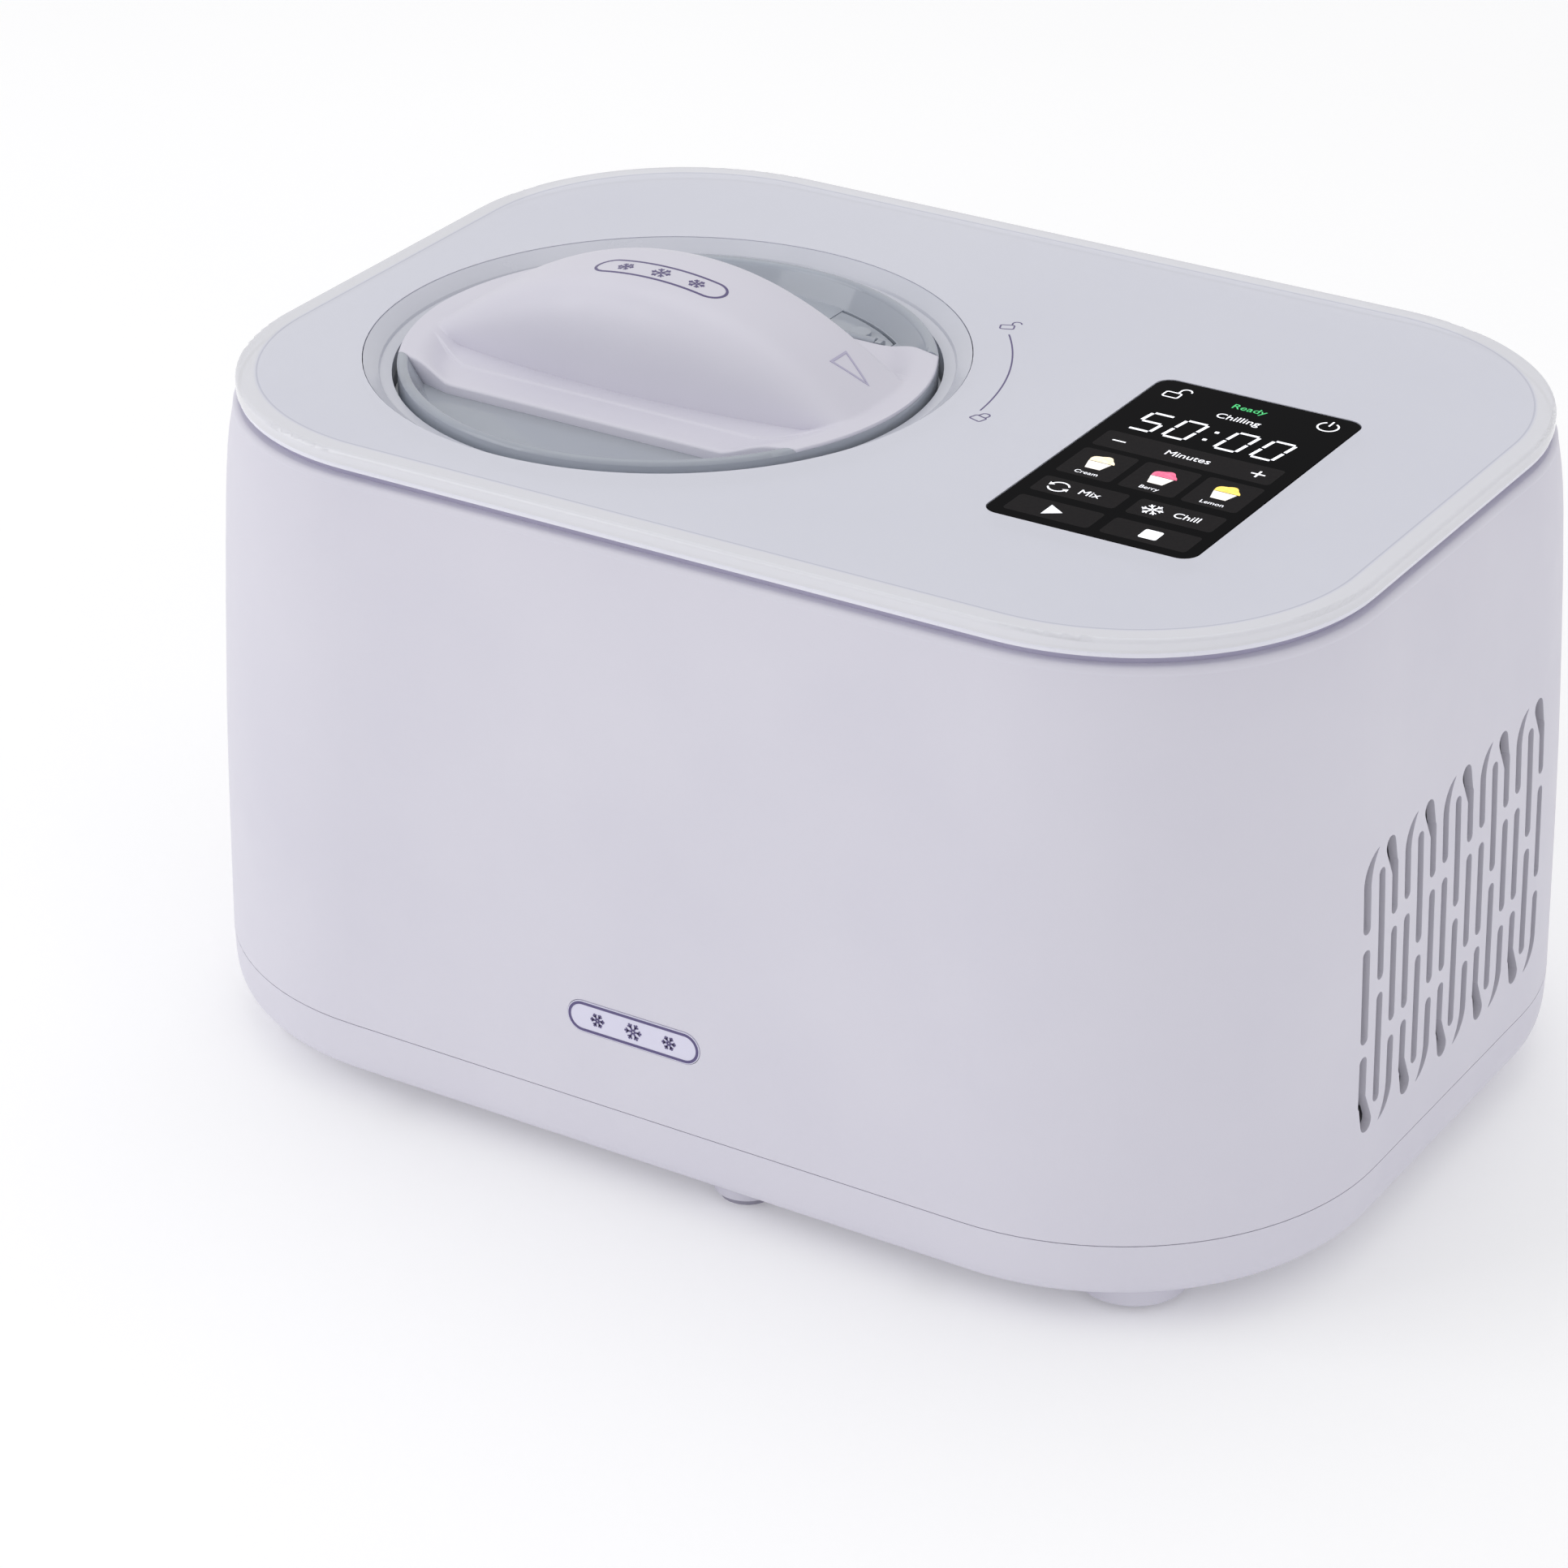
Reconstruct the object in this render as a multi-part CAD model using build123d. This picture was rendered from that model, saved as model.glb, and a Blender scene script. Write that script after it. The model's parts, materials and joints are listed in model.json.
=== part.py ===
from build123d import *
import math
import os

# ---------------------------------------------------------------- driving dimensions (mm)
TOP_Z = 233.0             # top face of the clear top panel above the table
PANEL_L, PANEL_W = 400.0, 280.0
PANEL_R = 84.0            # corner radius of the panel
PANEL_T = 4.4
DECK_T = 1.7              # visible edge of the deck under the panel
DECK_GAP = 2.7            # shadow gap between deck and housing
BOND_GAP = 0.25           # layer of clear adhesive that holds the panel over the deck
WALL = 3.0                # housing wall
SEAM_Z = 32.4             # joint between housing and base pan
SEAM_GAP = 0.3
BASE_Z = 7.5              # underside of the base pan
FLOOR_T = 2.5
# outward bulge of the housing from the panel outline, as (offset, height)
BULGE = [(10.4, SEAM_Z), (9.9, 63.0), (8.7, 113.0), (7.0, 153.0), (4.8, 193.0), (2.85, 213.0), (1.2, 221.7)]

LID_X, LID_Y = -74.5, -16.7   # common axis of lid, bowl, paddle and drive shaft
PANEL_HOLE_R = 99.7
COLLAR_R = 90.2               # clear mouth of the collar
LID_R = 88.4
LID_TOP = TOP_Z - 1.3
LID_FLOOR = TOP_Z - 9.0       # top of the recessed lid floor
LID_BOTTOM = 221.5
RECESS_R = 80.0
GRIP_CREST = TOP_Z + 28.6
GRIP_HALF_W = 51.0
GRIP_FLANGE_T = 2.5

DISPLAY_X, DISPLAY_Y = 110.8, -13.0
DISPLAY_L, DISPLAY_W = 119.7, 72.4
DISPLAY_R = 5.5

BOWL_R, BOWL_T = 80.8, 1.5
BOWL_BOTTOM, BOWL_RIM = 86.5, 219.2
BOWL_TUBE_R = 10.5
BOWL_TUBE_TOP = 150.0
CAN_R, CAN_T = 82.0, 1.2
CAN_BOTTOM, CAN_TOP = 82.5, 213.0
COIL_R, COIL_TUBE_R = 87.6, 3.6
FOAM_INNER_R, FOAM_OUTER_R = 92.0, 102.0
FOAM_BOTTOM = 62.0
SHAFT_R = 5.0
RUNNING_FIT = 0.05
HEX_AF = 9.0
PADDLE_TURN = 35.0            # rest position of paddle and shaft about their axis

GEAR_MODULE = 1.5
DRIVE_TEETH, PINION_TEETH = 54, 18
GEAR_Z, GEAR_FACE = 47.5, 9.0
GEAR_CENTRES = GEAR_MODULE * (DRIVE_TEETH + PINION_TEETH) / 2
MOTOR_X = LID_X + GEAR_CENTRES
MOTOR_BOTTOM, MOTOR_TOP = 12.0, 42.0
MOTOR_R = 23.0
MOTOR_SHAFT_R = 3.0

VENT_PITCH = 27.2
VENT_UNITS = 5
VENT_Y = -2.0             # middle of the vent field along the side
VENT_MID_Z = 98.0
VENT_SLOT = 4.2
ARCH_Z = 136.0            # centre height of the arch that caps each vent unit
ARCH_TOP = 147.2

FAN_X, FAN_Y, FAN_Z = 132.0, -7.0, 95.0
CONDENSER_X = 177.0
COMPRESSOR_X, COMPRESSOR_Y, COMPRESSOR_R = 70.0, 70.0, 52.0
INLET_X, INLET_Z = -50.0, 45.0
INLET_FACE_Y = 150.1
EMBLEM_X, EMBLEM_Z = -4.0, 63.0

STRAIGHT_X = PANEL_L / 2 - PANEL_R
STRAIGHT_Y = PANEL_W / 2 - PANEL_R
PANEL_BOTTOM = TOP_Z - PANEL_T
DECK_BOTTOM = PANEL_BOTTOM - DECK_T
HOUSING_TOP = DECK_BOTTOM - DECK_GAP
FLOOR_Z = BASE_Z + FLOOR_T
UP = (Align.CENTER, Align.CENTER, Align.MIN)


# ---------------------------------------------------------------- helpers
def cyl(x, y, z0, z1, r):
    return Pos(x, y, z0) * Cylinder(r, z1 - z0, align=UP)


def tube(x, y, z0, z1, r, bore):
    return cyl(x, y, z0, z1, r) - cyl(x, y, z0, z1, bore)


def block(x0, x1, y0, y1, z0, z1):
    middle = Pos((x0 + x1) / 2, (y0 + y1) / 2, z0)
    return middle * Box(x1 - x0, y1 - y0, z1 - z0, align=UP)


def slab(offset, z0, z1):
    """The panel outline grown by an offset, between two heights."""
    face = RectangleRounded(PANEL_L + 2 * offset, PANEL_W + 2 * offset, PANEL_R + offset)
    return extrude(Pos(0, 0, z0) * face, z1 - z0)


def turned(points):
    """A body turned about the lid axis from (radius, height) points."""
    face = Plane.XZ * make_face(Polyline(*points, close=True))
    return Pos(LID_X, LID_Y, 0) * revolve(face, Axis.Z)


def ring_of(section):
    """Carry a section in (offset, height) once round the rounded panel outline."""
    pieces = []
    for side in range(4):
        half, reach = (STRAIGHT_X, PANEL_W / 2) if side % 2 == 0 else (STRAIGHT_Y, PANEL_L / 2)
        start = Plane(origin=(half, -reach, 0), x_dir=(0, -1, 0), z_dir=(-1, 0, 0))
        straight = extrude(start * section, 2 * half)
        corner_axis = Axis((half, PANEL_R - reach, 0), (0, 0, 1))
        corner = revolve(start * section, corner_axis, 90)
        pieces += [Rot(0, 0, 90 * side) * straight, Rot(0, 0, 90 * side) * corner]
    return Part() + pieces


def pipe(points, bend, r):
    """A round tube of radius r through points, with one bend radius."""
    path = FilletPolyline(*points, radius=bend)
    start = Plane(origin=path @ 0, z_dir=path % 0)
    return sweep(start * Circle(r), path=path)


def group(solids):
    return Compound(children=list(solids))


def screw(x, y, z_head, z_tip, head_r, shank_r, head_h):
    """A pan-head screw along Z, head at z_head; it points up when z_tip is above."""
    direction = 1 if z_tip > z_head else -1
    low, high = sorted((z_head, z_head + direction * head_h))
    shank = sorted((z_head + direction * head_h, z_tip))
    return cyl(x, y, low, high, head_r) + cyl(x, y, shank[0], shank[1], shank_r)


# ---------------------------------------------------------------- casing
def vent_sketch():
    """One vent unit in (y, z): three columns capped by a tapered arch and a hook."""
    pitch, half = VENT_PITCH / 3, VENT_SLOT / 2
    outer = ARCH_TOP - ARCH_Z
    tip = (-outer * math.sin(math.radians(10)), ARCH_Z + outer * math.cos(math.radians(10)))
    arch = make_face([
        Line((-pitch - half, 122), (-pitch - half, ARCH_Z)),
        ThreePointArc((-pitch - half, ARCH_Z), (-outer * 0.76, ARCH_Z + outer * 0.65), tip),
        ThreePointArc(tip, (-outer * 0.47, ARCH_Z + outer * 0.57), (half - pitch, ARCH_Z)),
        Line((half - pitch, ARCH_Z), (half - pitch, 122)),
        ThreePointArc((half - pitch, 122), (-pitch, 122 - half), (-pitch - half, 122)),
    ])
    inner = Pos(0, 119.6) * SlotOverall(38.6, VENT_SLOT, rotation=90)
    leg = Pos(pitch, 128.5) * SlotOverall(19.0, VENT_SLOT, rotation=90)
    crook = make_hull((Pos(pitch, 134) * Circle(half)).edges() + (Pos(6.0, 143.7) * Circle(3.3)).edges())
    top = arch + inner + leg + crook
    middle = Sketch() + [Pos(u, VENT_MID_Z) * SlotOverall(33.0, VENT_SLOT, rotation=90) for u in (-pitch, pitch)]
    turned_over = Pos(0, 2 * VENT_MID_Z) * Rot(0, 0, 180) * top
    return top + middle + turned_over


def vent_cutter():
    wall_plane = Plane(origin=(190, 0, 0), x_dir=(0, 1, 0), z_dir=(1, 0, 0))
    first = VENT_Y - VENT_PITCH * (VENT_UNITS - 1) / 2
    unit = vent_sketch()
    units = [extrude(wall_plane * (Pos(first + VENT_PITCH * i, 0) * unit), 30) for i in range(VENT_UNITS)]
    return Part() + units


def capsule_y(x, z, length, height, y0, y1):
    """A flat capsule lying in an XZ plane, between two depths."""
    plane = Plane(origin=(x, y0, z), x_dir=(1, 0, 0), z_dir=(0, 1, 0))
    return extrude(plane * SlotOverall(length, height), y1 - y0)


SCREW_SPOTS = [(x, y) for x in (-100.0, 100.0) for y in (-142.0, 142.0)]
DECK_SPOTS = [(x, y) for x in (-30.0, 60.0) for y in (-127.0, 127.0)]


def housing():
    outer = Spline(*BULGE)
    inner = Spline(*[(d - WALL, z) for d, z in BULGE[:-1]])
    lip = -9.0
    section = make_face([
        outer,
        ThreePointArc(BULGE[-1], (0.75, 223.5), (-0.6, HOUSING_TOP)),
        Line((-0.6, HOUSING_TOP), (lip, HOUSING_TOP)),
        Line((lip, HOUSING_TOP), (lip, HOUSING_TOP - 2.5)),
        Line((lip, HOUSING_TOP - 2.5), (-2.2, HOUSING_TOP - 2.5)),
        Line((-2.2, HOUSING_TOP - 2.5), (BULGE[-2][0] - WALL, BULGE[-2][1])),
        inner,
        Line((BULGE[0][0] - WALL, SEAM_Z), BULGE[0]),
    ])
    shell = ring_of(section)
    for x, y in SCREW_SPOTS:
        shell += cyl(x, y, SEAM_Z, 60, 5.5)
    for x, y in DECK_SPOTS:
        side = math.copysign(1, y)
        shell += block(x - 7, x + 7, *sorted((y - 7 * side, y + 6 * side)), HOUSING_TOP - 2.5, HOUSING_TOP)
        shell -= cyl(x, y, 200, 230, 1.7)
    for x, y in SCREW_SPOTS:
        shell -= cyl(x, y, SEAM_Z, 56, 1.5)
    vents = vent_cutter()
    shell -= vents
    shell -= mirror(vents, about=Plane.YZ)
    shell -= capsule_y(EMBLEM_X, EMBLEM_Z, 50.0, 11.6, -151.0, -148.6)
    shell -= block(INLET_X - 15.7, INLET_X + 15.7, 148.0, 152, INLET_Z - 12.6, INLET_Z + 12.6)
    shell -= block(INLET_X - 13.7, INLET_X + 13.7, 140, 152, INLET_Z - 10.2, INLET_Z + 10.2)
    return shell


FOOT_SPOTS = {
    "front_left": (-154.0, -108.0), "front_right": (154.0, -108.0),
    "rear_left": (-154.0, 108.0), "rear_right": (154.0, 108.0),
}
MIDDLE_FEET = [(23.0, -125.5), (23.0, 125.5)]
FOOT_Z = 2.6
PAN_FLAT = -6.0                # where the pan's flat underside ends, as an offset from the panel's edge
SCREW_SEAT_Z = 16.0            # seat of the base screws' heads


def pan_outer(top):
    return Spline((10.4, top), (10.1, 23.0), (8.2, 15.4), (4.0, 11.4), (-1.0, 9.0), (PAN_FLAT, BASE_Z))


def pan_envelope():
    """Everything inside the pan's outer surface, up to the seam."""
    top = SEAM_Z - SEAM_GAP
    deep = PAN_FLAT - 8.0
    section = make_face([
        pan_outer(top),
        Line((PAN_FLAT, BASE_Z), (deep, BASE_Z)),
        Line((deep, BASE_Z), (deep, top)),
        Line((deep, top), (10.4, top)),
    ])
    return ring_of(section) + slab(deep, BASE_Z, top)


def base_pan():
    top = SEAM_Z - SEAM_GAP
    inner = [(10.4 - WALL, top), (7.1, 25.0), (5.4, 18.0), (2.2, 14.4), (-2.0, 12.0), (PAN_FLAT, FLOOR_Z)]
    section = make_face([
        pan_outer(top),
        Line((PAN_FLAT, BASE_Z), (PAN_FLAT, FLOOR_Z)),
        Spline(*reversed(inner)),
        Line(inner[0], (10.4, top)),
    ])
    pan = ring_of(section) + slab(PAN_FLAT, BASE_Z, FLOOR_Z)
    envelope = pan_envelope()
    for x, y in SCREW_SPOTS:
        pan += cyl(x, y, BASE_Z + 1, top, 5.5) & envelope
    for x, y in board_spots():
        pan += cyl(x, y, FLOOR_Z, 20.0, 3.5)
    for x, y in gearbox_spots():
        pan += cyl(x, y, FLOOR_Z, 43.0, 4.5)
    for x, y in SCREW_SPOTS:
        pan -= cyl(x, y, 0, SCREW_SEAT_Z, 3.5)
        pan -= cyl(x, y, 0, top + 1, 1.7)
    for x, y in gearbox_spots():
        pan -= cyl(x, y, 28.0, 44.0, 1.45)
    for row in range(6):
        y = -60.0 + 24.0 * row
        pan -= extrude(Pos(175, y, 0) * SlotOverall(34.0, 3.6), 12)
    return pan


def feet():
    """Feet that reach up to the pan's curved underside."""
    envelope = pan_envelope()
    high = BASE_Z + 5.0
    corner = {
        "foot_" + name: cyl(x, y, FOOT_Z, high, 18.0) - envelope for name, (x, y) in FOOT_SPOTS.items()
    }
    return corner | {"middle_feet": group(cyl(x, y, FOOT_Z, high, 11.0) - envelope for x, y in MIDDLE_FEET)}


def foot_pads():
    corner = [cyl(x, y, 0, FOOT_Z, 14.0) for x, y in FOOT_SPOTS.values()]
    middle = [cyl(x, y, 0, FOOT_Z, 9.0) for x, y in MIDDLE_FEET]
    return group(corner + middle)


def base_screws():
    return group(screw(x, y, SCREW_SEAT_Z - 2.4, 44.0, 3.0, 1.45, 2.4) for x, y in SCREW_SPOTS)


def front_emblem():
    return capsule_y(EMBLEM_X, EMBLEM_Z, 49.6, 11.2, -150.1, -148.7)


# ---------------------------------------------------------------- top
def display_window(grow):
    return RectangleRounded(DISPLAY_W + grow, DISPLAY_L + grow, DISPLAY_R + grow / 2)


def top_panel():
    body = slab(0, PANEL_BOTTOM, TOP_Z)
    rim = body.edges().group_by(Axis.Z)[-1]
    body = fillet(rim, 1.4)
    body -= cyl(LID_X, LID_Y, 220, 240, PANEL_HOLE_R)
    body -= extrude(Pos(DISPLAY_X, DISPLAY_Y, 220) * display_window(0.3), 20)
    return body


def top_deck():
    """Deck, with a raised rim and display ledge that carry the panel and the display glass."""
    deck = slab(-0.6, DECK_BOTTOM, PANEL_BOTTOM) - slab(-1.8, PANEL_BOTTOM - BOND_GAP, PANEL_BOTTOM)
    deck += extrude(Pos(DISPLAY_X, DISPLAY_Y, PANEL_BOTTOM - BOND_GAP) * display_window(0), BOND_GAP)
    for x, y in DECK_SPOTS:
        deck += cyl(x, y, HOUSING_TOP, DECK_BOTTOM, 4.5)
    deck -= cyl(LID_X, LID_Y, 220, 240, PANEL_HOLE_R)
    deck -= extrude(Pos(DISPLAY_X, DISPLAY_Y, 220) * display_window(-6), 20)
    for x, y in DECK_SPOTS:
        deck -= cyl(x, y, 220, PANEL_BOTTOM - 0.6, 1.5)
    return deck


def deck_gasket():
    return slab(-3.0, HOUSING_TOP, DECK_BOTTOM) - slab(-7.0, HOUSING_TOP, DECK_BOTTOM)


def deck_screws():
    head = HOUSING_TOP - 2.5 - 2.2
    return group(screw(x, y, head, PANEL_BOTTOM - 0.8, 3.0, 1.45, 2.2) for x, y in DECK_SPOTS)


def display_glass():
    body = extrude(Pos(DISPLAY_X, DISPLAY_Y, PANEL_BOTTOM) * display_window(0), PANEL_T - 0.05)
    return fillet(body.edges().group_by(Axis.Z)[-1], 0.5)


def display_panel():
    face = RectangleRounded(DISPLAY_W - 10, DISPLAY_L - 10, 2)
    return extrude(Pos(DISPLAY_X, DISPLAY_Y, 225.2) * face, PANEL_BOTTOM - 225.2)


def display_carrier():
    outer = RectangleRounded(DISPLAY_W + 8, DISPLAY_L + 8, 4)
    inner = RectangleRounded(DISPLAY_W - 8, DISPLAY_L - 8, 3)
    frame = extrude(Pos(DISPLAY_X, DISPLAY_Y, 222.0) * outer, DECK_BOTTOM - 222.0)
    return frame - extrude(Pos(DISPLAY_X, DISPLAY_Y, 220) * inner, 20)


def display_board():
    return extrude(Pos(DISPLAY_X, DISPLAY_Y, 220.4) * RectangleRounded(DISPLAY_W + 4, DISPLAY_L + 4, 3), 1.6)


def bowl_collar():
    return turned([
        (PANEL_HOLE_R - 0.3, TOP_Z - 0.2), (94.5, TOP_Z - 4.1), (94.0, TOP_Z - 5.0), (COLLAR_R, TOP_Z - 5.4),
        (COLLAR_R, 216.0), (86.5, 216.0), (86.5, CAN_TOP), (PANEL_HOLE_R - 0.3, CAN_TOP),
    ])


def well_seal():
    return turned([(86.6, 216.0), (90.0, 216.0), (90.0, 217.5), (86.6, 217.5)])


# ---------------------------------------------------------------- lid
def grip_footprint(grow):
    """Plan of the grip flange about the lid axis: a disc cut by two flared edges."""
    w = GRIP_HALF_W + grow
    flare_x, flare_y = 76.4, 44.3 + grow
    far_x, far_y = 95.0, 39.0 + grow
    quarter = [(53.0, w), (flare_x, flare_y), (far_x, far_y)]
    right = quarter + [(x, -y) for x, y in reversed(quarter)]
    left = [(-x, -y) for x, y in right]
    return make_face(Polyline(*right, *left, close=True)) & Circle(LID_R - 0.2 + grow)


FLAP_X0, FLAP_X1 = 21.0, 50.0
FLAP_PIN_Y = 54.2
FLAP_PIN_Z = LID_FLOOR + 1.9
FLAP_R = 79.5                  # rounded rear edge of the flap opening
FLAP_EDGE_GAP = 1.4            # room for the flap's rear edge, which swings outward as it rises
FLAP_T = 2.0


def flap_sketch(grow, rear_radius):
    plan = Pos((FLAP_X0 + FLAP_X1) / 2, FLAP_PIN_Y + 20) * Rectangle(FLAP_X1 - FLAP_X0 + 2 * grow, 40 + 2 * grow)
    return plan & Circle(rear_radius)


def flap_knuckle(x0, x1, r):
    start = Plane(origin=(x0, FLAP_PIN_Y, FLAP_PIN_Z), z_dir=(1, 0, 0))
    return extrude(start * Circle(r), x1 - x0)


def lid_place(thing):
    return Pos(LID_X, LID_Y, 0) * thing


def lid_window():
    rim = make_face([
        Line((0, LID_BOTTOM), (LID_R, LID_BOTTOM)),
        Line((LID_R, LID_BOTTOM), (LID_R, LID_TOP - 1.4)),
        ThreePointArc((LID_R, LID_TOP - 1.4), (LID_R - 1.9, LID_TOP), (LID_R - 3.8, LID_TOP - 1.4)),
        Line((LID_R - 3.8, LID_TOP - 1.4), (RECESS_R, LID_FLOOR)),
        Line((RECESS_R, LID_FLOOR), (0, LID_FLOOR)),
        Line((0, LID_FLOOR), (0, LID_BOTTOM)),
    ])
    body = revolve(Plane.XZ * rim, Axis.Z)
    body -= extrude(Pos(0, 0, LID_FLOOR) * grip_footprint(0.15), 20)
    body -= extrude(Pos(0, 0, 215) * flap_sketch(0.5, FLAP_R), 30)
    for x0 in (FLAP_X0 - 3.0, FLAP_X1 - 2.6):
        body += flap_knuckle(x0, x0 + 2.2, 1.4)
        body += block(x0, x0 + 2.2, FLAP_PIN_Y - 2.2, FLAP_PIN_Y - 0.6, LID_FLOOR - 0.5, FLAP_PIN_Z + 1.2)
    body -= flap_knuckle(FLAP_X0 - 10, FLAP_X1 + 10, 0.8)
    for x, y in lid_screw_spots():
        body -= cyl(x, y, 215, 230, 1.7)
    return lid_place(body)


def mix_in_flap():
    plate = extrude(Pos(0, 0, LID_FLOOR - FLAP_T) * flap_sketch(0, FLAP_R - FLAP_EDGE_GAP), FLAP_T)
    knuckle = flap_knuckle(FLAP_X0 + 0.2, FLAP_X1 - 3.2, 1.7)
    web = block(FLAP_X0 + 0.2, FLAP_X1 - 3.2, FLAP_PIN_Y, FLAP_PIN_Y + 1.7, LID_FLOOR - 0.5, FLAP_PIN_Z)
    bore = flap_knuckle(FLAP_X0 - 1, FLAP_X1 + 1, 0.8 + RUNNING_FIT)
    tab = Pos(36, FLAP_R - 18, LID_FLOOR) * Cylinder(4.0, 1.2, align=UP)
    return lid_place(plate + knuckle + web + tab - bore)


def flap_pin():
    return lid_place(flap_knuckle(FLAP_X0 - 3.0, FLAP_X1 - 0.4, 0.8))


def lid_screw_spots():
    return [(x, y) for x in (-48.0, 48.0) for y in (-20.0, 20.0)]


def grip_ridge():
    """Half-moon ridge: an arch along X met by a waisted section across Y."""
    base = LID_FLOOR + GRIP_FLANGE_T - 0.5
    arch = make_face([
        ThreePointArc((-83.0, base), (0, GRIP_CREST), (83.0, base)),
        Line((83.0, base), (-83.0, base)),
    ])
    arch_prism = extrude(Plane.XZ * arch, 45, both=True)
    side = [(37.0, base), (32.0, base + 3.5), (29.5, base + 11.0), (27.0, base + 21.0), (18.0, base + 31.0)]
    across = make_face([
        Spline(*side, (0, GRIP_CREST), *[(-y, z) for y, z in reversed(side)]),
        Line((-side[0][0], base), (side[0][0], base)),
    ])
    across_prism = extrude(Plane.YZ * across, 90, both=True)
    return arch_prism & across_prism & cyl(0, 0, base, GRIP_CREST + 5, LID_R - 2.0)


def emblem_prism(grow):
    slot = Pos(1.0, -5.0) * SlotOverall(50.0 + 2 * grow, 12.0 + 2 * grow)
    return extrude(Pos(0, 0, TOP_Z + 20) * slot, 30)


def lid_grip():
    flange = extrude(Pos(0, 0, LID_FLOOR) * grip_footprint(0), GRIP_FLANGE_T)
    ends = extrude(Pos(0, 0, LID_FLOOR) * grip_footprint(0), LID_TOP - 0.2 - LID_FLOOR)
    ends -= Pos(0, 0, LID_FLOOR) * Cone(RECESS_R - 6, RECESS_R + 4, LID_TOP - LID_FLOOR, align=UP)
    ridge = grip_ridge()
    body = flange + ends + ridge
    body -= emblem_prism(0) & (ridge - Pos(0, 0, -0.6) * ridge)
    for x, y in lid_screw_spots():
        body -= cyl(x, y, 215, 234, 1.5)
    return lid_place(body)


def lid_emblem():
    ridge = grip_ridge()
    return lid_place(emblem_prism(-0.1) & (ridge - Pos(0, 0, -0.6) * ridge))


def lid_screws():
    spots = [(LID_X + x, LID_Y + y) for x, y in lid_screw_spots()]
    return group(screw(x, y, LID_BOTTOM - 1.8, 233.0, 2.8, 1.45, 1.8) for x, y in spots)


def lid_gasket():
    return turned([(84.0, 219.5), (87.6, 219.5), (87.6, 221.2), (84.0, 221.2)])


# ---------------------------------------------------------------- bowl and paddle
def bowl():
    inner_r, floor = BOWL_R - BOWL_T, BOWL_BOTTOM + 2.0
    return turned([
        (BOWL_TUBE_R - BOWL_T, BOWL_BOTTOM), (BOWL_R - 6, BOWL_BOTTOM), (BOWL_R - 1.8, BOWL_BOTTOM + 1.8),
        (BOWL_R, BOWL_BOTTOM + 6), (BOWL_R, BOWL_RIM - 1.4), (89.4, BOWL_RIM - 1.4), (89.4, BOWL_RIM),
        (inner_r, BOWL_RIM), (inner_r, floor + 6), (inner_r - 1.6, floor + 1.6), (inner_r - 6, floor),
        (BOWL_TUBE_R, floor), (BOWL_TUBE_R, BOWL_TUBE_TOP), (BOWL_TUBE_R - BOWL_T, BOWL_TUBE_TOP),
    ])


def paddle():
    hub = cyl(0, 0, 91.0, 186.0, 14.0) - cyl(0, 0, 90.0, 152.0, BOWL_TUBE_R + 0.7)
    hub -= extrude(Pos(0, 0, 151) * RegularPolygon(HEX_AF / 2 + 0.15, 6, major_radius=False), 12.5)
    hub = fillet(hub.edges().group_by(Axis.Z)[-1], 5.0)
    body = hub
    for turn in (0, 180):
        lower = block(12.5, 60.0, -4.0, 4.0, 91.0, 96.0)
        upper = block(10.0, 60.0, -4.0, 4.0, 172.0, 178.0)
        blade = block(58.0, 75.5, -1.8, 1.8, 91.0, 184.0)
        body += Rot(0, 0, turn) * (lower + upper + blade)
    return Pos(LID_X, LID_Y, 0) * Rot(0, 0, PADDLE_TURN) * body


def paddle_scrapers():
    strips = [Rot(0, 0, PADDLE_TURN + turn) * block(75.5, 78.5, -1.2, 1.2, 95.0, 183.0) for turn in (0, 180)]
    return group(Pos(LID_X, LID_Y, 0) * strip for strip in strips)


# ---------------------------------------------------------------- cold well
def freezing_can():
    r, t = CAN_R, CAN_T
    return turned([
        (5.8, CAN_BOTTOM), (r + t, CAN_BOTTOM), (r + t, CAN_TOP - t), (96.0, CAN_TOP - t), (96.0, CAN_TOP),
        (r, CAN_TOP), (r, CAN_BOTTOM + t), (7.2, CAN_BOTTOM + t), (7.2, 146.0), (5.8, 146.0),
    ])


def evaporator_coil():
    heights = [100.0 + 16.0 * i for i in range(7)]
    coil = Part()
    for z in heights:
        coil += Pos(0, 0, z) * Torus(COIL_R, COIL_TUBE_R)
    coil += cyl(COIL_R, 0, heights[0], heights[-1], 3.0)
    for z in (heights[0], heights[-1]):
        coil += Pos(COIL_R, 0, z) * Rot(0, 90, 0) * Cylinder(3.0, 20.4, align=UP)
    return Pos(LID_X, LID_Y, 0) * coil


def insulation():
    sleeve = turned([
        (14.0, FOAM_BOTTOM), (FOAM_OUTER_R, FOAM_BOTTOM), (FOAM_OUTER_R, CAN_TOP - CAN_T),
        (FOAM_INNER_R, CAN_TOP - CAN_T), (FOAM_INNER_R, CAN_BOTTOM), (14.0, CAN_BOTTOM),
    ])
    notch = block(LID_X + 88, LID_X + 106, LID_Y - 5, LID_Y + 5, CAN_BOTTOM + 2, 230)
    return sleeve - notch


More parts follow.
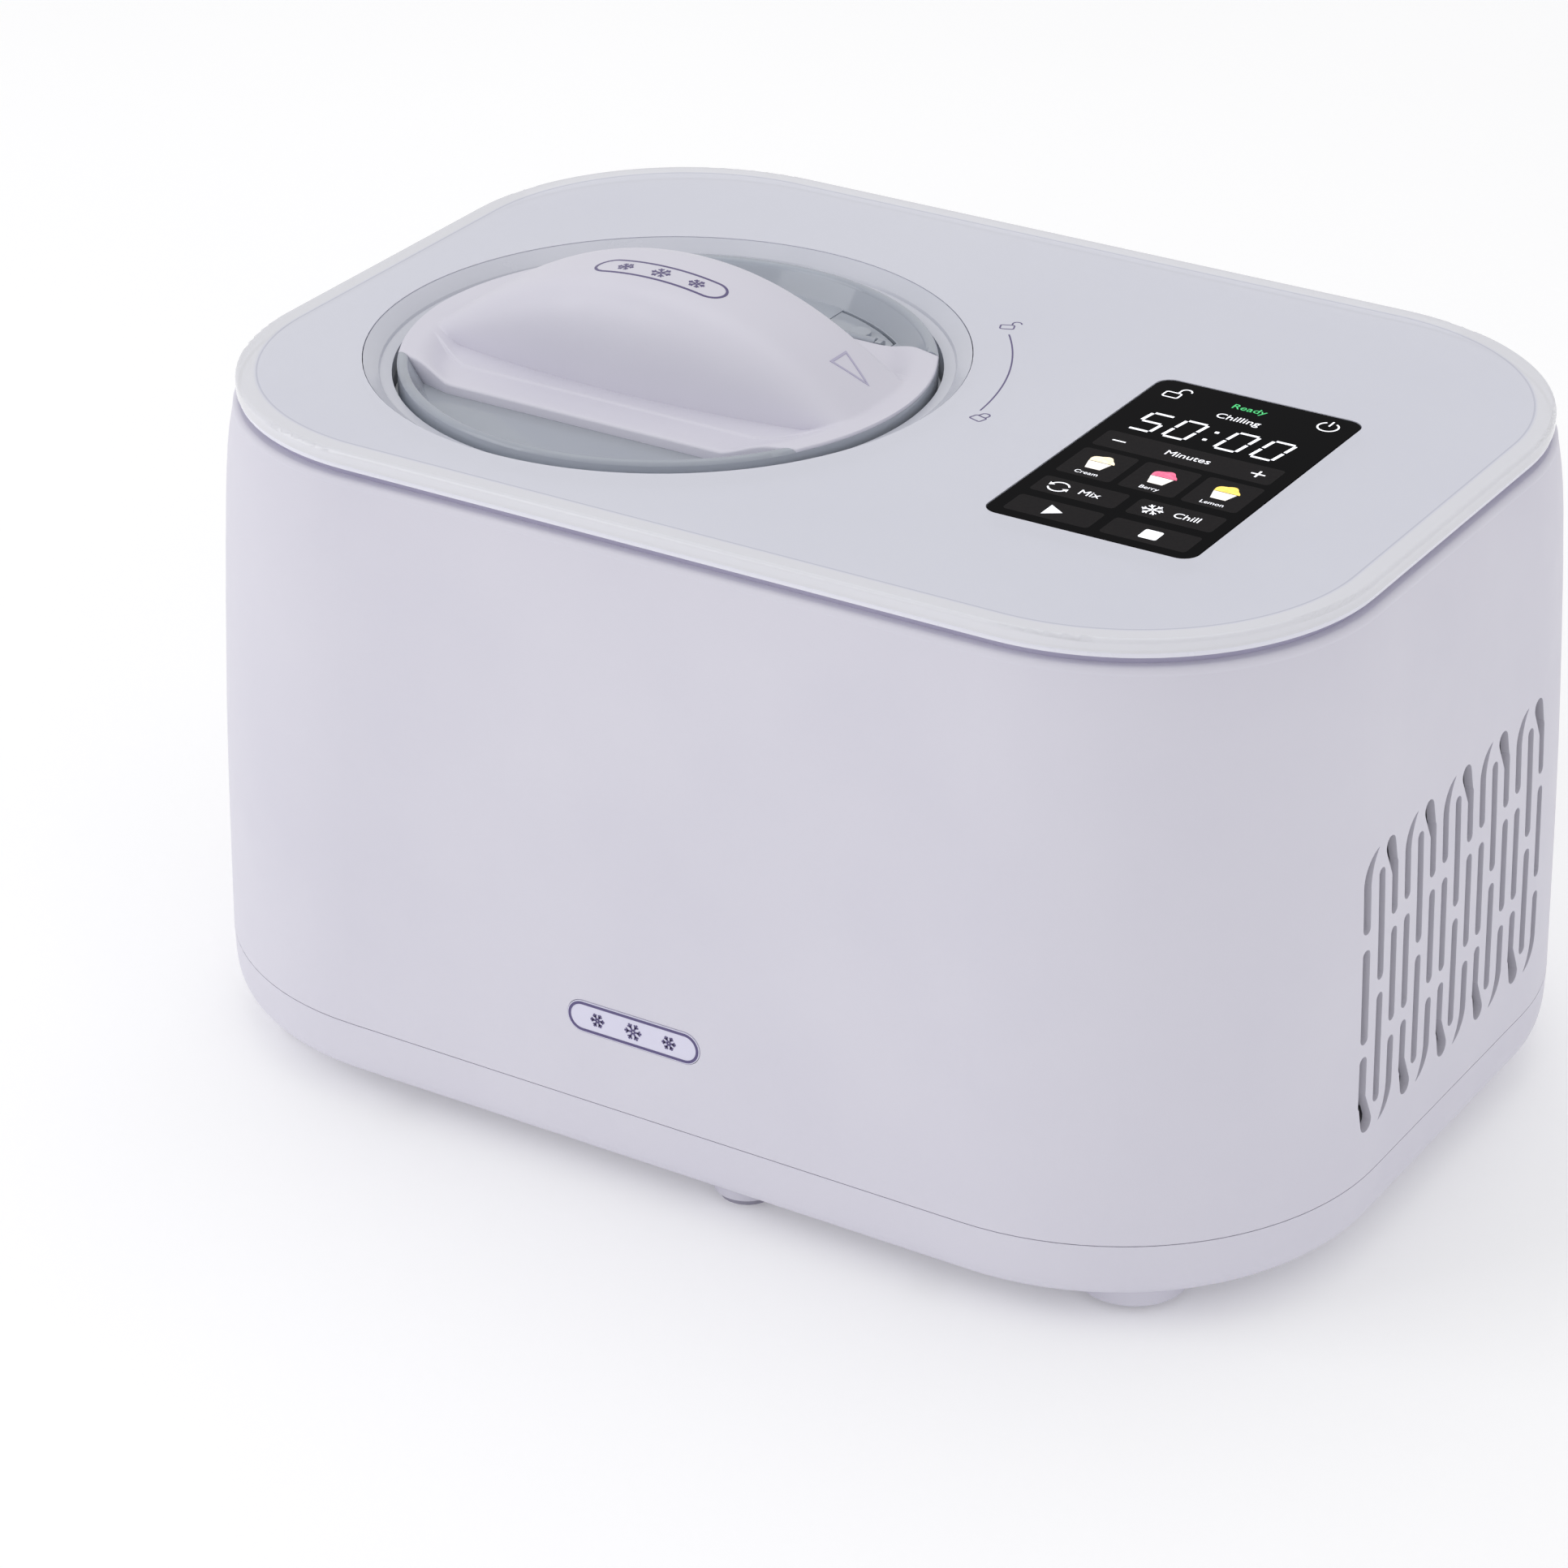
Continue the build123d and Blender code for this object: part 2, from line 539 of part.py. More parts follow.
# ---------------------------------------------------------------- drive
def gear_outline(teeth):
    """Involute spur gear outline with a little backlash."""
    pitch_r = GEAR_MODULE * teeth / 2
    base_r = pitch_r * math.cos(math.radians(20))
    root_r, tip_r = pitch_r - 1.25 * GEAR_MODULE, pitch_r + GEAR_MODULE
    start_r = max(base_r, root_r)

    def involute(r):
        angle = math.acos(base_r / r)
        return math.tan(angle) - angle

    half_pitch = math.pi / (2 * teeth) + involute(pitch_r) - 0.06 / pitch_r
    radii = [start_r + (tip_r - start_r) * i / 4 for i in range(5)]
    flank = [(r, half_pitch - involute(r)) for r in radii]
    if start_r > root_r:
        flank.insert(0, (root_r, flank[0][1]))
    points = []
    for tooth in range(teeth):
        middle = 2 * math.pi * tooth / teeth
        tooth_polar = [(r, middle - a) for r, a in flank] + [(r, middle + a) for r, a in reversed(flank)]
        points += [(r * math.cos(a), r * math.sin(a)) for r, a in tooth_polar]
    return make_face(Polyline(*points, close=True))


def drive_gear():
    blank = extrude(gear_outline(DRIVE_TEETH), GEAR_FACE) + Cylinder(9, GEAR_FACE, align=UP)
    blank -= Cylinder(SHAFT_R, GEAR_FACE, align=UP)
    for turn in range(0, 360, 60):
        blank -= Rot(0, 0, turn) * Pos(23, 0, 0) * Cylinder(8, GEAR_FACE, align=UP)
    return Pos(LID_X, LID_Y, GEAR_Z) * blank


def motor_pinion():
    """Pinion cut on the end of the motor's shaft."""
    half_tooth = 180 / PINION_TEETH
    teeth = Rot(0, 0, half_tooth) * extrude(gear_outline(PINION_TEETH), GEAR_FACE)
    shaft = cyl(MOTOR_X, LID_Y, MOTOR_BOTTOM + 1.5, GEAR_Z + GEAR_FACE, MOTOR_SHAFT_R)
    return Pos(MOTOR_X, LID_Y, GEAR_Z) * teeth + shaft


def rotor_core():
    """Laminated core pressed on the motor's shaft inside the can."""
    return tube(MOTOR_X, LID_Y, MOTOR_BOTTOM + 6.0, MOTOR_TOP - 6.0, MOTOR_R - 4.5, MOTOR_SHAFT_R)


def drive_motor():
    body = fillet(cyl(MOTOR_X, LID_Y, MOTOR_BOTTOM, MOTOR_TOP, MOTOR_R).edges().group_by(Axis.Z)[0], 3.0)
    body -= cyl(MOTOR_X, LID_Y, MOTOR_BOTTOM + 4.0, MOTOR_TOP - 4.0, MOTOR_R - 3.0)
    return body - cyl(MOTOR_X, LID_Y, MOTOR_BOTTOM + 1.0, MOTOR_TOP + 1.0, MOTOR_SHAFT_R + RUNNING_FIT)


def drive_shaft():
    hexagon = extrude(Pos(0, 0, 150) * RegularPolygon(HEX_AF / 2, 6, major_radius=False), 11)
    shaft = cyl(0, 0, 33.0, 150.0, SHAFT_R) + hexagon
    return Pos(LID_X, LID_Y, 0) * Rot(0, 0, PADDLE_TURN) * shaft


def gearbox_spots():
    left, right = LID_X - 43.0, LID_X + GEAR_CENTRES + 24.0
    return [(x, LID_Y + s * 43.0) for x in (left, right) for s in (-1, 1)]


def gearbox_plan(grow):
    left, right = LID_X - 49.0, LID_X + GEAR_CENTRES + 30.0
    plan = RectangleRounded(right - left + 2 * grow, 98.0 + 2 * grow, 8.0)
    return Pos((left + right) / 2, LID_Y) * plan


def gearbox_case():
    body = extrude(Pos(0, 0, 43.0) * gearbox_plan(0), 15.0)
    pocket = extrude(Pos(0, 0, 46.0) * gearbox_plan(-2.5), 15.0)
    corners = [cyl(x, y, 44.0, 58.0, 6.0) for x, y in gearbox_spots()]
    body = body - pocket + corners
    body += cyl(LID_X, LID_Y, 32.0, 46.5, 11.0)
    body -= cyl(LID_X, LID_Y, 30.0, 60.0, 8.0)
    body -= cyl(MOTOR_X, LID_Y, 40.0, 60.0, 17.0)
    for x, y in gearbox_spots():
        body -= cyl(x, y, 40, 60, 1.7)
    return body


def gearbox_cover():
    body = extrude(Pos(0, 0, 58.0) * gearbox_plan(0), 3.0) + cyl(LID_X, LID_Y, 58.0, 74.0, 12.0)
    body -= cyl(LID_X, LID_Y, 50.0, 80.0, 8.0)
    for x, y in gearbox_spots():
        body -= cyl(x, y, 50, 70, 1.7)
    return body


def shaft_bearings():
    spans = [(33.0, 46.0), (60.0, 73.0)]
    return group(tube(LID_X, LID_Y, z0, z1, 8.0, SHAFT_R + RUNNING_FIT) for z0, z1 in spans)


def gearbox_screws():
    return group(screw(x, y, 61.0 + 0.9, 30.0, 2.9, 1.45, 0.9) for x, y in gearbox_spots())


# ---------------------------------------------------------------- refrigeration
def compressor():
    pot = fillet(cyl(0, 0, 23.5, 130.0, COMPRESSOR_R).edges(), 17.0)
    pot += block(-15, 15, -COMPRESSOR_R - 2, -COMPRESSOR_R + 6, 60, 90)
    pot += cyl(-14, -10, 126, 136, 3.0)
    pot += cyl(22, 22, 126, 136, 3.0)
    return Pos(COMPRESSOR_X, COMPRESSOR_Y, 0) * pot


def compressor_cover():
    y1 = COMPRESSOR_Y - COMPRESSOR_R - 2
    return fillet(block(COMPRESSOR_X - 20, COMPRESSOR_X + 20, y1 - 12, y1, 54, 96).edges().filter_by(Axis.Z), 3)


def mount_spots():
    return [(COMPRESSOR_X + sx * 45.0, COMPRESSOR_Y + sy * 42.0) for sx in (-1, 1) for sy in (-1, 1)]


def compressor_plate():
    plate = Pos(COMPRESSOR_X, COMPRESSOR_Y, 21.0) * extrude(RectangleRounded(108.0, 102.0, 10.0), 2.5)
    for x, y in mount_spots():
        plate -= cyl(x, y, 15, 30, 3.2)
    return plate


def compressor_grommets():
    return group(tube(x, y, FLOOR_Z, 21.0, 8.0, 3.2) for x, y in mount_spots())


def compressor_bolts():
    return group(screw(x, y, 27.0, FLOOR_Z, 5.2, 2.9, 3.5) for x, y in mount_spots())


CONDENSER_TUBE_Z = [51.0 + 22.0 * i for i in range(5)]
CONDENSER_Y0, CONDENSER_Y1 = -74.0, 60.0


def condenser_fins():
    tubes = [Pos(CONDENSER_X, 0, z) * Rot(90, 0, 0) * Cylinder(3.2, 200) for z in CONDENSER_TUBE_Z]
    fins = []
    for i in range(18):
        y = CONDENSER_Y0 + 12.5 + 6.4 * i
        fins.append(block(CONDENSER_X - 14, CONDENSER_X + 14, y, y + 0.6, 40.0, 150.0) - tubes)
    return group(fins)


def condenser_coil():
    points = []
    for i, z in enumerate(reversed(CONDENSER_TUBE_Z)):
        ends = (CONDENSER_Y1, CONDENSER_Y0) if i % 2 == 0 else (CONDENSER_Y0, CONDENSER_Y1)
        points += [(CONDENSER_X, end, z) for end in ends]
    return pipe(points, 10.9, 3.2)


def discharge_line():
    x, y = COMPRESSOR_X + 22, COMPRESSOR_Y + 22
    top = CONDENSER_TUBE_Z[-1]
    return pipe([(x, y, 136), (x, y, 165), (CONDENSER_X, y, 165), (CONDENSER_X, y, top),
                 (CONDENSER_X, CONDENSER_Y1, top)], 9.0, 3.0)


DRIER_X, DRIER_Y = 150.0, -100.0


def filter_drier():
    body = fillet(cyl(DRIER_X, DRIER_Y, 72.0, 128.0, 9.0).edges(), 4.0)
    return body + cyl(DRIER_X, DRIER_Y, 70.0, 74.0, 3.0) + cyl(DRIER_X, DRIER_Y, 126.0, 130.0, 3.0)


def liquid_line():
    low = CONDENSER_TUBE_Z[0]
    return pipe([(CONDENSER_X, CONDENSER_Y0, low), (CONDENSER_X, DRIER_Y, low), (DRIER_X, DRIER_Y, low),
                 (DRIER_X, DRIER_Y, 70.0)], 8.0, 3.0)


def capillary_tube():
    entry = LID_X + COIL_R + 20.4
    return pipe([(DRIER_X, DRIER_Y, 130), (DRIER_X, DRIER_Y, 165), (54, DRIER_Y, 165), (54, LID_Y, 165),
                 (54, LID_Y, 100), (entry, LID_Y, 100)], 8.0, 1.4)


def suction_line():
    exit_x = LID_X + COIL_R + 20.4
    x, y = COMPRESSOR_X - 14, COMPRESSOR_Y - 10
    return pipe([(exit_x, LID_Y, 196), (x, LID_Y, 196), (x, y, 196), (x, y, 136)], 9.0, 3.0)


def refrigerant_lines():
    return group([discharge_line(), liquid_line(), suction_line()])


# ---------------------------------------------------------------- fan
def along_x(x0, x1, r):
    return Pos(x0, FAN_Y, FAN_Z) * Rot(0, 90, 0) * Cylinder(r, x1 - x0, align=UP)


def fan_shroud():
    frame = block(FAN_X, FAN_X + 22, FAN_Y - 54, FAN_Y + 54, FAN_Z - 54, FAN_Z + 54)
    frame -= along_x(FAN_X - 1, FAN_X + 23, 48.0)
    for turn in (90, 210, 330):
        spoke = block(FAN_X + 18.5, FAN_X + 22, -2.5, 2.5, 12, 50)
        frame += Pos(0, FAN_Y, FAN_Z) * Rot(turn, 0, 0) * spoke
    frame += along_x(FAN_X + 18.5, FAN_X + 22, 15.0)
    for y in (FAN_Y - 44, FAN_Y + 44):
        frame += block(FAN_X + 4, FAN_X + 18, y - 8, y + 8, FLOOR_Z, FAN_Z - 53)
    return frame - along_x(FAN_X + 10, FAN_X + 30, 1.5 + RUNNING_FIT)


def fan_motor():
    return along_x(FAN_X + 9.5, FAN_X + 18.5, 11.0) - along_x(FAN_X + 9, FAN_X + 19, 1.5 + RUNNING_FIT)


def fan_rotor():
    cup = along_x(FAN_X + 4, FAN_X + 17, 17.0) - along_x(FAN_X + 7, FAN_X + 17, 13.5)
    cup += along_x(FAN_X + 5, FAN_X + 20, 1.5)
    for blade in range(7):
        leaf = Pos(FAN_X + 10.5, 0, 31) * Rot(0, 0, 38) * Box(1.8, 16, 29)
        cup += Pos(0, FAN_Y, FAN_Z) * Rot(blade * 360 / 7, 0, 0) * leaf
    return cup


# ---------------------------------------------------------------- electrics
BOARD = (38.0, 118.0, -122.0, -32.0)


def board_spots():
    x0, x1, y0, y1 = BOARD
    return [(x, y) for x in (x0 + 5, x1 - 5) for y in (y0 + 5, y1 - 5)]


def power_board():
    return block(*BOARD, 20.0, 21.6)


def power_parts():
    x0, x1, y0, y1 = BOARD
    transformer = block(x0 + 8, x0 + 38, y0 + 14, y0 + 40, 21.6, 45.0)
    capacitors = [cyl(x0 + 56, y0 + 24 + 22 * i, 21.6, 46.0, 8.0) for i in range(3)]
    relays = [block(x0 + 10, x0 + 38, y0 + 50 + 20 * i, y0 + 65 + 20 * i, 21.6, 37.0) for i in range(2)]
    return group([transformer] + capacitors + relays)


def ribbon_cable():
    return block(96, 110, -42.5, -41.5, 21.6, 220.4)


def appliance_inlet():
    flange = block(INLET_X - 15.5, INLET_X + 15.5, 148.1, INLET_FACE_Y, INLET_Z - 12.4, INLET_Z + 12.4)
    body = block(INLET_X - 13.5, INLET_X + 13.5, 130.0, 148.1, INLET_Z - 10.0, INLET_Z + 10.0)
    mouth = Plane(origin=(INLET_X, 133.5, INLET_Z), x_dir=(1, 0, 0), z_dir=(0, 1, 0))
    socket = extrude(mouth * RectangleRounded(24.0, 16.4, 3.0), 20)
    inlet = flange + body - socket
    for x, z in pin_spots():
        inlet -= block(x - 2, x + 2, 120, 140, z - 1, z + 1)
    return inlet


def pin_spots():
    return [(INLET_X - 7.0, INLET_Z - 2.0), (INLET_X + 7.0, INLET_Z - 2.0), (INLET_X, INLET_Z + 2.0)]


def inlet_pins():
    return group(block(x - 2, x + 2, 126, 144.5, z - 1, z + 1) for x, z in pin_spots())


# ---------------------------------------------------------------- build
def build():
    makers = [
        housing, base_pan, foot_pads, base_screws, front_emblem, top_panel, top_deck, deck_gasket,
        deck_screws, display_glass, display_panel, display_carrier, display_board, bowl_collar, well_seal,
        lid_window, lid_grip, lid_emblem, lid_screws, lid_gasket, mix_in_flap, flap_pin, bowl, paddle,
        paddle_scrapers, freezing_can, evaporator_coil, insulation, drive_gear, motor_pinion, rotor_core,
        drive_motor, drive_shaft, gearbox_case, gearbox_cover, shaft_bearings, gearbox_screws, compressor,
        compressor_cover, compressor_plate, compressor_grommets, compressor_bolts, condenser_fins,
        condenser_coil, filter_drier, refrigerant_lines, capillary_tube, fan_shroud, fan_motor,
        fan_rotor, power_board, power_parts, ribbon_cable, appliance_inlet, inlet_pins,
    ]
    nodes = {maker.__name__: maker() for maker in makers[:2]} | feet()
    nodes |= {maker.__name__: maker() for maker in makers[2:]}
    return nodes


os.makedirs("parts", exist_ok=True)
for node, shape in build().items():
    export_step(shape, f"parts/{node}.step")
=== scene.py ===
import json
import math

import bmesh
import bpy
from mathutils import Euler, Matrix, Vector


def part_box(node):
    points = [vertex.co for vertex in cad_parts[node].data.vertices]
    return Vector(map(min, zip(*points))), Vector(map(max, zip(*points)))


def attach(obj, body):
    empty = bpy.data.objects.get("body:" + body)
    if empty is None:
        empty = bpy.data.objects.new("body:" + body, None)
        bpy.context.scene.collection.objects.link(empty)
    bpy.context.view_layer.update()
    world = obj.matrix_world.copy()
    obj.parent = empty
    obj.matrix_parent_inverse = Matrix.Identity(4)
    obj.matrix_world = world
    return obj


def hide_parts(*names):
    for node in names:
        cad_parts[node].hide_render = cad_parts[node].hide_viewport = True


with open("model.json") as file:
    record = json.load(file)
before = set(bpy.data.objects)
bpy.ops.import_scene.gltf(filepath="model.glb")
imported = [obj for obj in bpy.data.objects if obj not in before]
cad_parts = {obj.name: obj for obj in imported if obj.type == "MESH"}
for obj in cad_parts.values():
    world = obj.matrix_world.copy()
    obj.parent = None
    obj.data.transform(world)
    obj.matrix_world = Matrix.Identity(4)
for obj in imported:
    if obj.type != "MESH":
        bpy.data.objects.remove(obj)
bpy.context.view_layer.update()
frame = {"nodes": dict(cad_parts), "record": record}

MM = 0.001

# Places taken from the frame, in metres.
PANEL_LOW, PANEL_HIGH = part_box("top_panel")
COLLAR_LOW, COLLAR_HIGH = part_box("bowl_collar")
GLASS_LOW, GLASS_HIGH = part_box("display_glass")
GRIP_LOW, GRIP_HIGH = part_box("lid_grip")
PANEL_TOP = PANEL_HIGH.z
LID_AXIS = Vector(((COLLAR_LOW.x + COLLAR_HIGH.x) / 2, (COLLAR_LOW.y + COLLAR_HIGH.y) / 2, PANEL_TOP))
DISPLAY = Vector(((GLASS_LOW.x + GLASS_HIGH.x) / 2, (GLASS_LOW.y + GLASS_HIGH.y) / 2, GLASS_HIGH.z))

# The panel's edge, in metres.
PANEL_CORNER_R = 0.084
BAND = 0.0062                              # width of the paler band inside the edge
BAND_BLUR = 0.0004                         # half the width over which the band fades out
BAND_LINE = 0.0008                         # from the band to the thin line beside it
BAND_LINE_HALF = 0.0003                    # half the line's width

# Shares of a clear sheet's own surface, where looked at squarely and at a slant.
PANEL_SHARES = (0.78, 0.95)
WINDOW_SHARES = (0.62, 0.95)
CLEAR_IOR = 1.45


# ---------------------------------------------------------------- colour and materials
def srgb(red, green, blue):
    """Linear colour of an 8-bit sRGB triple, with alpha 1."""
    def linear(value):
        share = value / 255
        return share / 12.92 if share <= 0.04045 else ((share + 0.055) / 1.055) ** 2.4
    return (linear(red), linear(green), linear(blue), 1.0)


class Look:
    """A node material built on one Principled shader, with helpers for its detail."""

    def __init__(self, name, **settings):
        self.material = bpy.data.materials.new(name)
        self.material.use_nodes = True
        self.tree = self.material.node_tree
        self.shader = self.tree.nodes["Principled BSDF"]
        self.output = self.tree.nodes["Material Output"]
        self.coords = self.tree.nodes.new("ShaderNodeTexCoord").outputs["Object"]
        for socket, value in settings.items():
            self.shader.inputs[socket.replace("_", " ")].default_value = value

    def add(self, kind, **settings):
        """New node of that kind with those properties."""
        node = self.tree.nodes.new(kind)
        for key, value in settings.items():
            setattr(node, key, value)
        return node

    def link(self, source, target):
        """Joins two sockets."""
        self.tree.links.new(source, target)

    def noise(self, scale, detail=3.0, roughness=0.5, stretch=None):
        """Noise by place; scale is in cells per metre, and stretch scales each axis on top."""
        node = self.add("ShaderNodeTexNoise")
        node.inputs["Scale"].default_value = scale
        node.inputs["Detail"].default_value = detail
        node.inputs["Roughness"].default_value = roughness
        source = self.coords
        if stretch:
            mapping = self.add("ShaderNodeMapping")
            mapping.inputs["Scale"].default_value = stretch
            self.link(source, mapping.inputs["Vector"])
            source = mapping.outputs["Vector"]
        self.link(source, node.inputs["Vector"])
        return node.outputs["Fac"]

    def span(self, source, low, high, start=0.3, end=0.7):
        """Maps source from start..end to low..high."""
        node = self.add("ShaderNodeMapRange")
        for key, value in (("From Min", start), ("From Max", end), ("To Min", low), ("To Max", high)):
            node.inputs[key].default_value = value
        self.link(source, node.inputs["Value"])
        return node.outputs["Result"]

    def mix(self, factor, first, second):
        """Colour mix of two sockets or colours."""
        node = self.add("ShaderNodeMix", data_type="RGBA")
        colours = [socket for socket in node.inputs if socket.type == "RGBA"]
        for socket, value in zip(colours, (first, second)):
            if isinstance(value, tuple):
                socket.default_value = value
            else:
                self.link(value, socket)
        self.link(factor, node.inputs["Factor"])
        return node.outputs[2]

    def math(self, operation, *values):
        """Result of a sum on sockets or numbers."""
        node = self.add("ShaderNodeMath", operation=operation)
        for socket, value in zip(node.inputs, values):
            if isinstance(value, (int, float)):
                socket.default_value = value
            else:
                self.link(value, socket)
        return node.outputs[0]

    def colour(self, first, second, scale=14.0):
        """Slow drift between two close colours."""
        drift = self.span(self.noise(scale, detail=4.0), 0.0, 1.0)
        result = self.mix(drift, first, second)
        self.link(result, self.shader.inputs["Base Color"])
        return result

    def sheen_marks(self, low, high, scale=60.0, stretch=None):
        """Roughness that wanders between two values."""
        wander = self.noise(scale, detail=5.0, roughness=0.6, stretch=stretch)
        self.link(self.span(wander, low, high), self.shader.inputs["Roughness"])

    def relief(self, height, scale, stretch=None):
        """Bump of that height in metres from noise."""
        node = self.add("ShaderNodeBump")
        node.inputs["Distance"].default_value = height
        self.link(self.noise(scale, detail=2.0, stretch=stretch), node.inputs["Height"])
        self.link(node.outputs["Normal"], self.shader.inputs["Normal"])

    def see_through(self, tint, low, high):
        """Thin clear sheet: tinted see-through where looked at squarely, its own gloss at a slant."""
        clear = self.add("ShaderNodeBsdfTransparent")
        clear.inputs["Color"].default_value = tint
        fresnel = self.add("ShaderNodeFresnel")
        fresnel.inputs["IOR"].default_value = CLEAR_IOR
        share = self.span(fresnel.outputs["Fac"], low, high, start=0.03, end=1.0)
        blend = self.add("ShaderNodeMixShader")
        self.link(share, blend.inputs["Fac"])
        self.link(clear.outputs["BSDF"], blend.inputs[1])
        self.link(self.shader.outputs["BSDF"], blend.inputs[2])
        self.link(blend.outputs["Shader"], self.output.inputs["Surface"])


def moulded(name, first, second, low, high, grain=2600.0, height=0.00002, **settings):
    """Moulded plastic or rubber: fine grain, faint colour drift and uneven gloss."""
    look = Look(name, **settings)
    look.colour(first, second)
    look.sheen_marks(low, high)
    look.relief(height, grain)
    return look


def metal(name, first, second, low, high, stretch):
    """Bare metal with drawn or turned marks along one direction."""
    look = Look(name, Metallic=1.0)
    look.colour(first, second, scale=40.0)
    look.sheen_marks(low, high, scale=420.0, stretch=stretch)
    look.relief(height=0.000012, scale=900.0, stretch=stretch)
    return look


def printed(name, first, second, glow=0.0, roughness=0.35):
    """Ink, or a lit screen element when glow is above 0."""
    look = Look(name, Roughness=roughness)
    shade = look.colour(first, second, scale=900.0)
    look.relief(height=0.000004, scale=5000.0)
    if glow:
        look.link(shade, look.shader.inputs["Emission Color"])
        look.shader.inputs["Emission Strength"].default_value = glow
    return look


def panel_look():
    """Glass-clear panel: a paler band inside its edge, a thin line beside the band and a faint tint."""
    look = Look("clear_panel_look", Coat_Weight=0.5, Coat_Roughness=0.03)
    apart = look.add("ShaderNodeSeparateXYZ")
    look.link(look.coords, apart.inputs["Vector"])
    half = (PANEL_HIGH - PANEL_LOW) / 2
    overs = [
        look.math("SUBTRACT", look.math("ABSOLUTE", apart.outputs[axis]), size - PANEL_CORNER_R)
        for axis, size in (("X", half.x), ("Y", half.y))
    ]
    outside = [look.math("MAXIMUM", over, 0.0) for over in overs]
    squares = [look.math("MULTIPLY", value, value) for value in outside]
    corner = look.math("SQRT", look.math("ADD", *squares))
    inner = look.math("MINIMUM", look.math("MAXIMUM", *overs), 0.0)
    depth = look.math("SUBTRACT", PANEL_CORNER_R, look.math("ADD", corner, inner))
    band = look.span(depth, 1.0, 0.0, start=BAND - BAND_BLUR, end=BAND + BAND_BLUR)
    line = look.math("COMPARE", depth, BAND + BAND_LINE, BAND_LINE_HALF)
    drift = look.span(look.noise(9.0, detail=4.0), 0.0, 1.0)
    body = look.mix(drift, srgb(231, 232, 244), srgb(234, 235, 246))
    paler = look.mix(band, body, srgb(243, 243, 249))
    look.link(look.mix(line, paler, srgb(212, 213, 228)), look.shader.inputs["Base Color"])
    look.sheen_marks(low=0.05, high=0.09, scale=30.0)
    look.relief(height=0.000003, scale=70.0)
    look.see_through(srgb(250, 251, 255), *PANEL_SHARES)
    return look


def brushed_disc(name, first, second, low, high):
    """Turned aluminium: marks in rings about the lid axis."""
    look = Look(name, Metallic=1.0)
    shift = look.add("ShaderNodeVectorMath", operation="SUBTRACT")
    look.link(look.coords, shift.inputs[0])
    shift.inputs[1].default_value = LID_AXIS
    rings = look.add("ShaderNodeTexWave", wave_type="RINGS", rings_direction="Z")
    rings.inputs["Scale"].default_value = 260.0
    rings.inputs["Distortion"].default_value = 0.6
    look.link(shift.outputs[0], rings.inputs["Vector"])
    look.colour(first, second, scale=30.0)
    gloss = look.span(rings.outputs["Fac"], low, high, start=0.0, end=1.0)
    look.link(gloss, look.shader.inputs["Roughness"])
    bump = look.add("ShaderNodeBump")
    bump.inputs["Distance"].default_value = 0.000006
    look.link(rings.outputs["Fac"], bump.inputs["Height"])
    look.link(bump.outputs["Normal"], look.shader.inputs["Normal"])
    return look


def silicone_look():
    """Soft milky rubber that lets a little light in."""
    look = moulded("silicone_look", srgb(226, 228, 232), srgb(216, 219, 226), 0.35, 0.5, grain=900.0)
    look.shader.inputs["Subsurface Weight"].default_value = 0.15
    look.shader.inputs["Subsurface Radius"].default_value = (0.002, 0.002, 0.002)
    return look


def window_look():
    """Tinted clear plastic of the lid."""
    look = Look("smoky_clear_look", Coat_Weight=0.4, Coat_Roughness=0.04)
    look.colour(srgb(200, 205, 216), srgb(205, 210, 220), scale=20.0)
    look.sheen_marks(low=0.06, high=0.14, scale=120.0)
    look.relief(height=0.000006, scale=160.0)
    look.see_through(srgb(222, 229, 233), *WINDOW_SHARES)
    return look


def circuit_look(name, first, second, scale):
    """Board or chips: square cells of two colours."""
    look = Look(name, Roughness=0.4)
    cells = look.add("ShaderNodeTexVoronoi", feature="F1", distance="CHEBYCHEV")
    cells.inputs["Scale"].default_value = scale
    look.link(look.coords, cells.inputs["Vector"])
    share = look.span(cells.outputs["Distance"], 0.0, 1.0, start=0.2, end=0.6)
    look.link(look.mix(share, first, second), look.shader.inputs["Base Color"])
    look.sheen_marks(low=0.3, high=0.5, scale=300.0)
    look.relief(height=0.00002, scale=2000.0)
    return look


